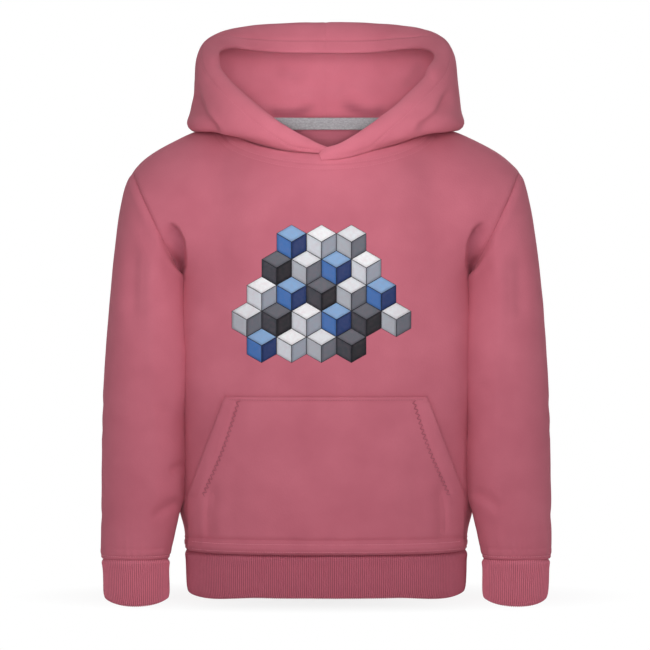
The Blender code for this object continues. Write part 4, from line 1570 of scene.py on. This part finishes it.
def tape_piece(material):
    """Marl tape over the back neck seam, hanging just in front of the back's inner face."""
    outer = np.empty((TAPE_ROWS, TAPE_COLUMNS, 3))
    inner = np.empty_like(outer)
    for row, drop in enumerate(np.linspace(0, TAPE_HEIGHT, TAPE_ROWS)):
        from_edge = min(drop, TAPE_HEIGHT - drop)
        stitch = -0.00025 * bell((from_edge - TAPE_STITCH_INSET) / 0.0006)
        puff = 0.0004 * math.sin(math.pi * drop / TAPE_HEIGHT)
        for column, share in enumerate(np.linspace(-0.5, 0.5, TAPE_COLUMNS)):
            x = TAPE_WIDTH * share
            round_share = math.sqrt(1 - (2 * x / NECK_WIDTH) ** 2)
            z = NECK_BACK_RISE * round_share + TAPE_TOP - drop
            y = NECK_DEPTH / 2 * round_share
            lean = 0.12 * max(0.0, drop - TAPE_TOP)
            normal = unit(np.array((-x / NECK_WIDTH**2, -y / NECK_DEPTH**2, 0.0)))
            inner[row, column] = np.array((x, y, z)) + normal * (TAPE_STANDOFF - lean)
            outer[row, column] = inner[row, column] + normal * (TAPE_THICKNESS + puff + stitch)
    return laid_sheet("neck_tape_cloth", outer, inner, material)


class Stitches:
    """Short rounded lengths of thread, gathered into one mesh."""

    def __init__(self):
        self.places, self.faces = [], []

    def add(self, start, end, normal, radius):
        """One stitch: a bowed tube with pinched ends, half sunk in the cloth."""
        start, end, normal = (np.asarray(v, dtype=float) for v in (start, end, normal))
        along = end - start
        side = unit(np.cross(along, normal))
        first = len(self.places)
        for share, width, rise in STITCH_RINGS:
            centre = start + along * share + normal * radius * rise
            for corner in range(STITCH_SIDES):
                angle = math.tau * corner / STITCH_SIDES
                way = side * math.cos(angle) + normal * math.sin(angle)
                self.places.append(centre + way * radius * width)
        index = np.arange(first, len(self.places)).reshape(-1, STITCH_SIDES)
        ahead = np.roll(index, -1, axis=1)
        sides = np.stack((index[:-1], ahead[:-1], ahead[1:], index[1:]), axis=-1)
        self.faces += sides.reshape(-1, 4).tolist()
        self.faces += [index[0, ::-1].tolist(), index[-1].tolist()]

    def run(self, places, normals, pitch, gap=0.28, radius=PLAIN_THREAD, closed=False):
        """Stitches end to end along a line on the cloth."""
        if closed:
            places, normals = np.vstack((places, places[:1])), np.vstack((normals, normals[:1]))
        lengths = run_along(places)
        count = max(1, int(lengths[-1] / pitch))
        marks = (np.arange(count)[:, None] + np.array((gap / 2, 1 - gap / 2))) * lengths[-1] / count
        points = at_runs(marks, lengths, places)
        ups = unit(at_runs(marks.mean(axis=1), lengths, normals))
        for (start, end), up in zip(points, ups):
            self.add(start, end, up, radius)

    def on_cloth(self, cloth, points, pitch, **options):
        """Stitches along a line of points, each first brought onto the cloth."""
        found = [cloth.nearest(point) for point in points]
        self.run(np.array([p for p, _ in found]), np.array([n for _, n in found]), pitch, **options)

    def zigzag(self, cloth, points, pitch, width):
        """A narrow zigzag along a line of points on the cloth."""
        lengths = run_along(points)
        count = int(lengths[-1] / pitch)
        line = at_runs(np.linspace(0, lengths[-1], count + 1), lengths, points)
        spots = []
        for number, point in enumerate(line):
            place, normal = cloth.nearest(point)
            ahead = line[min(number + 1, count)] - line[max(number - 1, 0)]
            side = unit(np.cross(ahead, normal)) * (width / 2 if number % 2 else -width / 2)
            spots.append(cloth.nearest(place + side))
        for (start, normal), (end, _) in zip(spots, spots[1:]):
            self.add(start, end, normal, ZIGZAG_THREAD)


def level_line(places, normals, values, quads, level, angles):
    """Where the values on a surface cross a level, in order of angle, with normals."""
    edges = np.unique(np.sort(quad_edges(quads), axis=1), axis=0)
    one, other = values[edges[:, 0]], values[edges[:, 1]]
    crossed = (one - level) * (other - level) < 0
    edges, one, other = edges[crossed], one[crossed], other[crossed]
    share = ((level - one) / (other - one))[:, None]
    points = places[edges[:, 0]] * (1 - share) + places[edges[:, 1]] * share
    ups = normals[edges[:, 0]] * (1 - share) + normals[edges[:, 1]] * share
    bins = np.round(angles(points) * LEVEL_BINS / math.tau).astype(int)
    line, line_ups = [], []
    for number in np.unique(bins):
        chosen = bins == number
        line.append(points[chosen].mean(axis=0))
        line_ups.append(ups[chosen].mean(axis=0))
    return np.array(line), unit(np.array(line_ups))


def film(places, faces, inks, ink, cloth, corners, height):
    """Adds a thin closed film over a four-cornered patch of the seen plane."""
    a, b, c, d = (np.array(corner) for corner in corners)
    top, under = [], []
    for v in np.linspace(0, 1, FILM_STEPS):
        for u in np.linspace(0, 1, FILM_STEPS):
            x, z = (a * (1 - u) + b * u) * (1 - v) + (d * (1 - u) + c * u) * v
            place, normal = cloth.from_camera(x, z)
            top.append(place + normal * height)
            under.append(place + normal * FILM_BASE)
    solid = sheet_faces(grid_quads(FILM_STEPS, FILM_STEPS), FILM_STEPS**2) + len(places)
    places.extend(top + under)
    faces.extend(solid.tolist())
    inks.extend([ink] * len(solid))


def chest_print(cloth):
    """A cluster of tumbling blocks, each of three faces inked in their own tones."""
    width = BLOCK_EDGE * math.sqrt(3)
    height = 1.5 * BLOCK_EDGE * (len(BLOCK_ROWS) - 1) / 2
    places, faces, inks = [], [], []
    for row, first, count in BLOCK_ROWS:
        for number in range(count):
            centre = np.array((
                PRINT_CENTRE[0] + (first + number) * width,
                PRINT_CENTRE[1] + height - 1.5 * BLOCK_EDGE * row,
            ))
            hexagon = [
                centre + BLOCK_EDGE * np.array((math.sin(turn), math.cos(turn)))
                for turn in np.arange(6) * math.pi / 3
            ]
            tone = (row * 3 + number * 2 + number // 2) % len(BLOCK_INKS)
            kites = (
                (centre, hexagon[1], hexagon[0], hexagon[5]),
                (hexagon[4], hexagon[3], centre, hexagon[5]),
                (hexagon[3], hexagon[2], hexagon[1], centre),
            )
            for face, kite in enumerate(kites):
                middle = sum(kite) / 4
                inset = [middle + (corner - middle) * FILM_INSET_SHARE for corner in kite]
                film(places, faces, inks, 0, cloth, kite, UNDERLAY_HEIGHT)
                film(places, faces, inks, 1 + tone * 3 + face, cloth, inset, FILM_HEIGHT)
    piece = new_object("chest_print", places, faces)
    outline = colour(*BLOCK_OUTLINE), colour(*BLOCK_OUTLINE_WORN)
    materials = [film_material("ink_outline", *outline)]
    for tone, shades in enumerate(BLOCK_INKS):
        for face, shade in enumerate(shades):
            worn = mix(np.array(shade), np.array(PRINT_CLOTH), PRINT_WEAR_SHARE)
            materials.append(film_material(f"ink_{tone}_{face}", colour(*shade), colour(*worn)))
    for material in materials:
        piece.data.materials.append(material)
    piece.data.polygons.foreach_set("material_index", inks)
    return piece


def pocket_lines(cloth):
    """Lines of stitching on the pocket: a name for each, and its points."""
    full, narrow = pocket_half(0), pocket_half(1)

    def line(points):
        steps = rounded_line(points, 60) if len(points) > 2 else np.linspace(*np.array(points), 60)
        return np.array([cloth.cast((x, -CHEST_DEPTH, z), (0, 1, 0))[0] for x, z in steps])

    def level(half, z):
        return line(((-half + 0.003, z), (half - 0.003, z)))

    lines = {"top": level(narrow, pocket_top_z - POCKET_TOP_STITCH)}
    for number, height in enumerate(HEM_STITCH_MM):
        lines[f"hem_{number}"] = level(full, hem_seam_z + height / 1000)
    middle_z, middle_half = (pocket_top_z + pocket_slant_z) / 2, (full + narrow) / 2 - POCKET_BOW
    for side in (1, -1):
        lines[f"slant_{side}"] = line((
            (side * (narrow - POCKET_EDGE_STITCH + 0.002), pocket_top_z - 0.004),
            (side * (middle_half - POCKET_EDGE_STITCH), middle_z),
            (side * (full - POCKET_EDGE_STITCH), pocket_slant_z + 0.002),
        ))
    return lines


def dress():
    """Makes every piece, sets it under the root, and hides the CAD part each cloth stands for."""
    fleece = fleece_material("fleece_jersey", True)
    hood_fleece = fleece_material("hood_jersey")
    # Lighter copy of the jersey for the lining: painted light.
    lining = fleece_material("lining_jersey_painted_light", True)
    # The cuffs take a lighter copy of the rib: painted light.
    rib, cuff_rib_painted_light = rib_material("rib_knit"), rib_material("cuff_knit_painted_light")

    made, cloths = {}, {}
    surface = Surface()
    relief, distances = body_relief(surface)
    finished = surface.places + surface.normals * relief[:, None]
    for name, label, side in (
        ("front_panel", FRONT, 0),
        ("back_panel", BACK, 0),
        ("sleeve_left", SLEEVE, 1),
        ("sleeve_right", SLEEVE, -1),
    ):
        made[name], outer, quads = panel(surface, relief, name + "_cloth", label, side, fleece)
        cloths[name] = Cloth(outer, quads)
    # Painted shade in the folds under the arms.
    mark_painted_shade(made["front_panel"], ARMPIT_SHADES)

    made["waistband"] = rib_band(
        "waistband_cloth", ringed(waistband_rows()), ringed([body_ring(1)])[0], WAISTBAND_HEIGHT, rib,
        sag=WAISTBAND_SAG,
    )
    for side, name in ((1, "cuff_left"), (-1, "cuff_right")):
        rings = as_array(cuff_rows())[:, :-1].copy()
        rings[..., 0] -= CUFF_SHIFT * np.linspace(0.3, 1, len(rings))[:, None]
        upper = as_array(sleeve_rows())[-2, :-1]
        flip = (side, 1, 1)
        made[name] = rib_band(
            name + "_cloth", rings * flip, upper * flip, CUFF_HEIGHT, cuff_rib_painted_light, CUFF_INSET
        )

    halves = {
        "left": HoodHalf(1, HOOD_TIP_OVER, True),
        "right": HoodHalf(-1, HOOD_TIP_UNDER, False),
    }
    for name, half in halves.items():
        made[f"hood_shell_{name}"] = half.shell(f"hood_shell_{name}_cloth", hood_fleece)
        made[f"hood_lining_{name}"] = half.lining(f"hood_lining_{name}_cloth", lining)

    made["kangaroo_pocket"], pocket_cloth = pocket_piece(cloths["front_panel"], fleece)
    made["neck_tape"], tape_cloth = tape_piece(heather_material("heather_tape"))

    # The thread of each group of stitches.
    threads = {
        "body": "thread",
        "pocket": "thread",
        "hood": "soft_thread",
        "tape": "grey_thread",
        "cover": "dark_thread",
    }
    stitches = {group: Stitches() for group in threads}

    def sew(group, key, level_mm, thickness, faces, angles):
        """A closed row of stitches at a level distance from a seam."""
        quads, level = surface.quads[faces], level_mm / 1000
        line, ups = level_line(finished, surface.normals, distances[key], quads, level, angles)
        stitches[group].run(line, ups, STITCH_PITCH, radius=thickness, closed=True)

    on_body = (surface.labels == FRONT) | (surface.labels == BACK)
    for group, key, rows, thickness in (
        ("body", "hem", HEM_STITCH_MM, HEM_THREAD),
        ("hood", "neck", NECK_STITCH_MM, NECK_THREAD),
    ):
        for row in rows:
            sew(group, key, row, thickness, on_body, body_angle)
    for side in (1, -1):
        on_side = side * finished[surface.quads].mean(axis=1)[:, 0] > 0
        on_sleeve = (surface.labels == SLEEVE) & on_side
        sew("body", "cuff", HEM_STITCH_MM[0], HEM_THREAD, on_sleeve, sleeve_angle)
    for name, line in pocket_lines(pocket_cloth).items():
        if name.startswith("slant"):
            stitches["cover"].zigzag(pocket_cloth, line, STITCH_PITCH, ZIGZAG_WIDTH)
        elif name == "top":
            stitches["cover"].on_cloth(pocket_cloth, line, STITCH_PITCH, gap=0.15)
        else:
            stitches["pocket"].on_cloth(pocket_cloth, line, STITCH_PITCH, radius=HEM_THREAD)
    for half in halves.values():
        stitches["hood"].run(*half.stitch_line(), STITCH_PITCH, radius=NECK_THREAD)
    for drop in (TAPE_STITCH_INSET, TAPE_HEIGHT - TAPE_STITCH_INSET):
        xs = np.linspace(-TAPE_WIDTH / 2 + 0.002, TAPE_WIDTH / 2 - 0.002, 60)
        rises = NECK_BACK_RISE * np.sqrt(1 - (2 * xs / NECK_WIDTH) ** 2) + TAPE_TOP - drop
        line = [tape_cloth.cast((x, 0, z), (0, 1, 0))[0] for x, z in zip(xs, rises)]
        stitches["tape"].on_cloth(tape_cloth, line, TAPE_STITCH_PITCH, gap=0.4)

    for name, piece in made.items():
        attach(piece, "root")
        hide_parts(name)
    used = {name: thread_material(name) for name in sorted(set(threads.values()))}
    for group, run in stitches.items():
        piece = new_object(f"stitches_{group}", run.places, run.faces, used[threads[group]])
        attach(piece, "root")
    blocks = chest_print(cloths["front_panel"])
    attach(blocks, "root")


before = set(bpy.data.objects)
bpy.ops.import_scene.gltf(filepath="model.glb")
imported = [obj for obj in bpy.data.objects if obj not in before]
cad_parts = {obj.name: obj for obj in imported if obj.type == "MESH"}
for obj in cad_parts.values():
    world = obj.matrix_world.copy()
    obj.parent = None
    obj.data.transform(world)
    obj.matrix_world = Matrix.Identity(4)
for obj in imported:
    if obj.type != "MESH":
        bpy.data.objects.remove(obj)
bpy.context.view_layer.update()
dress()
studio()
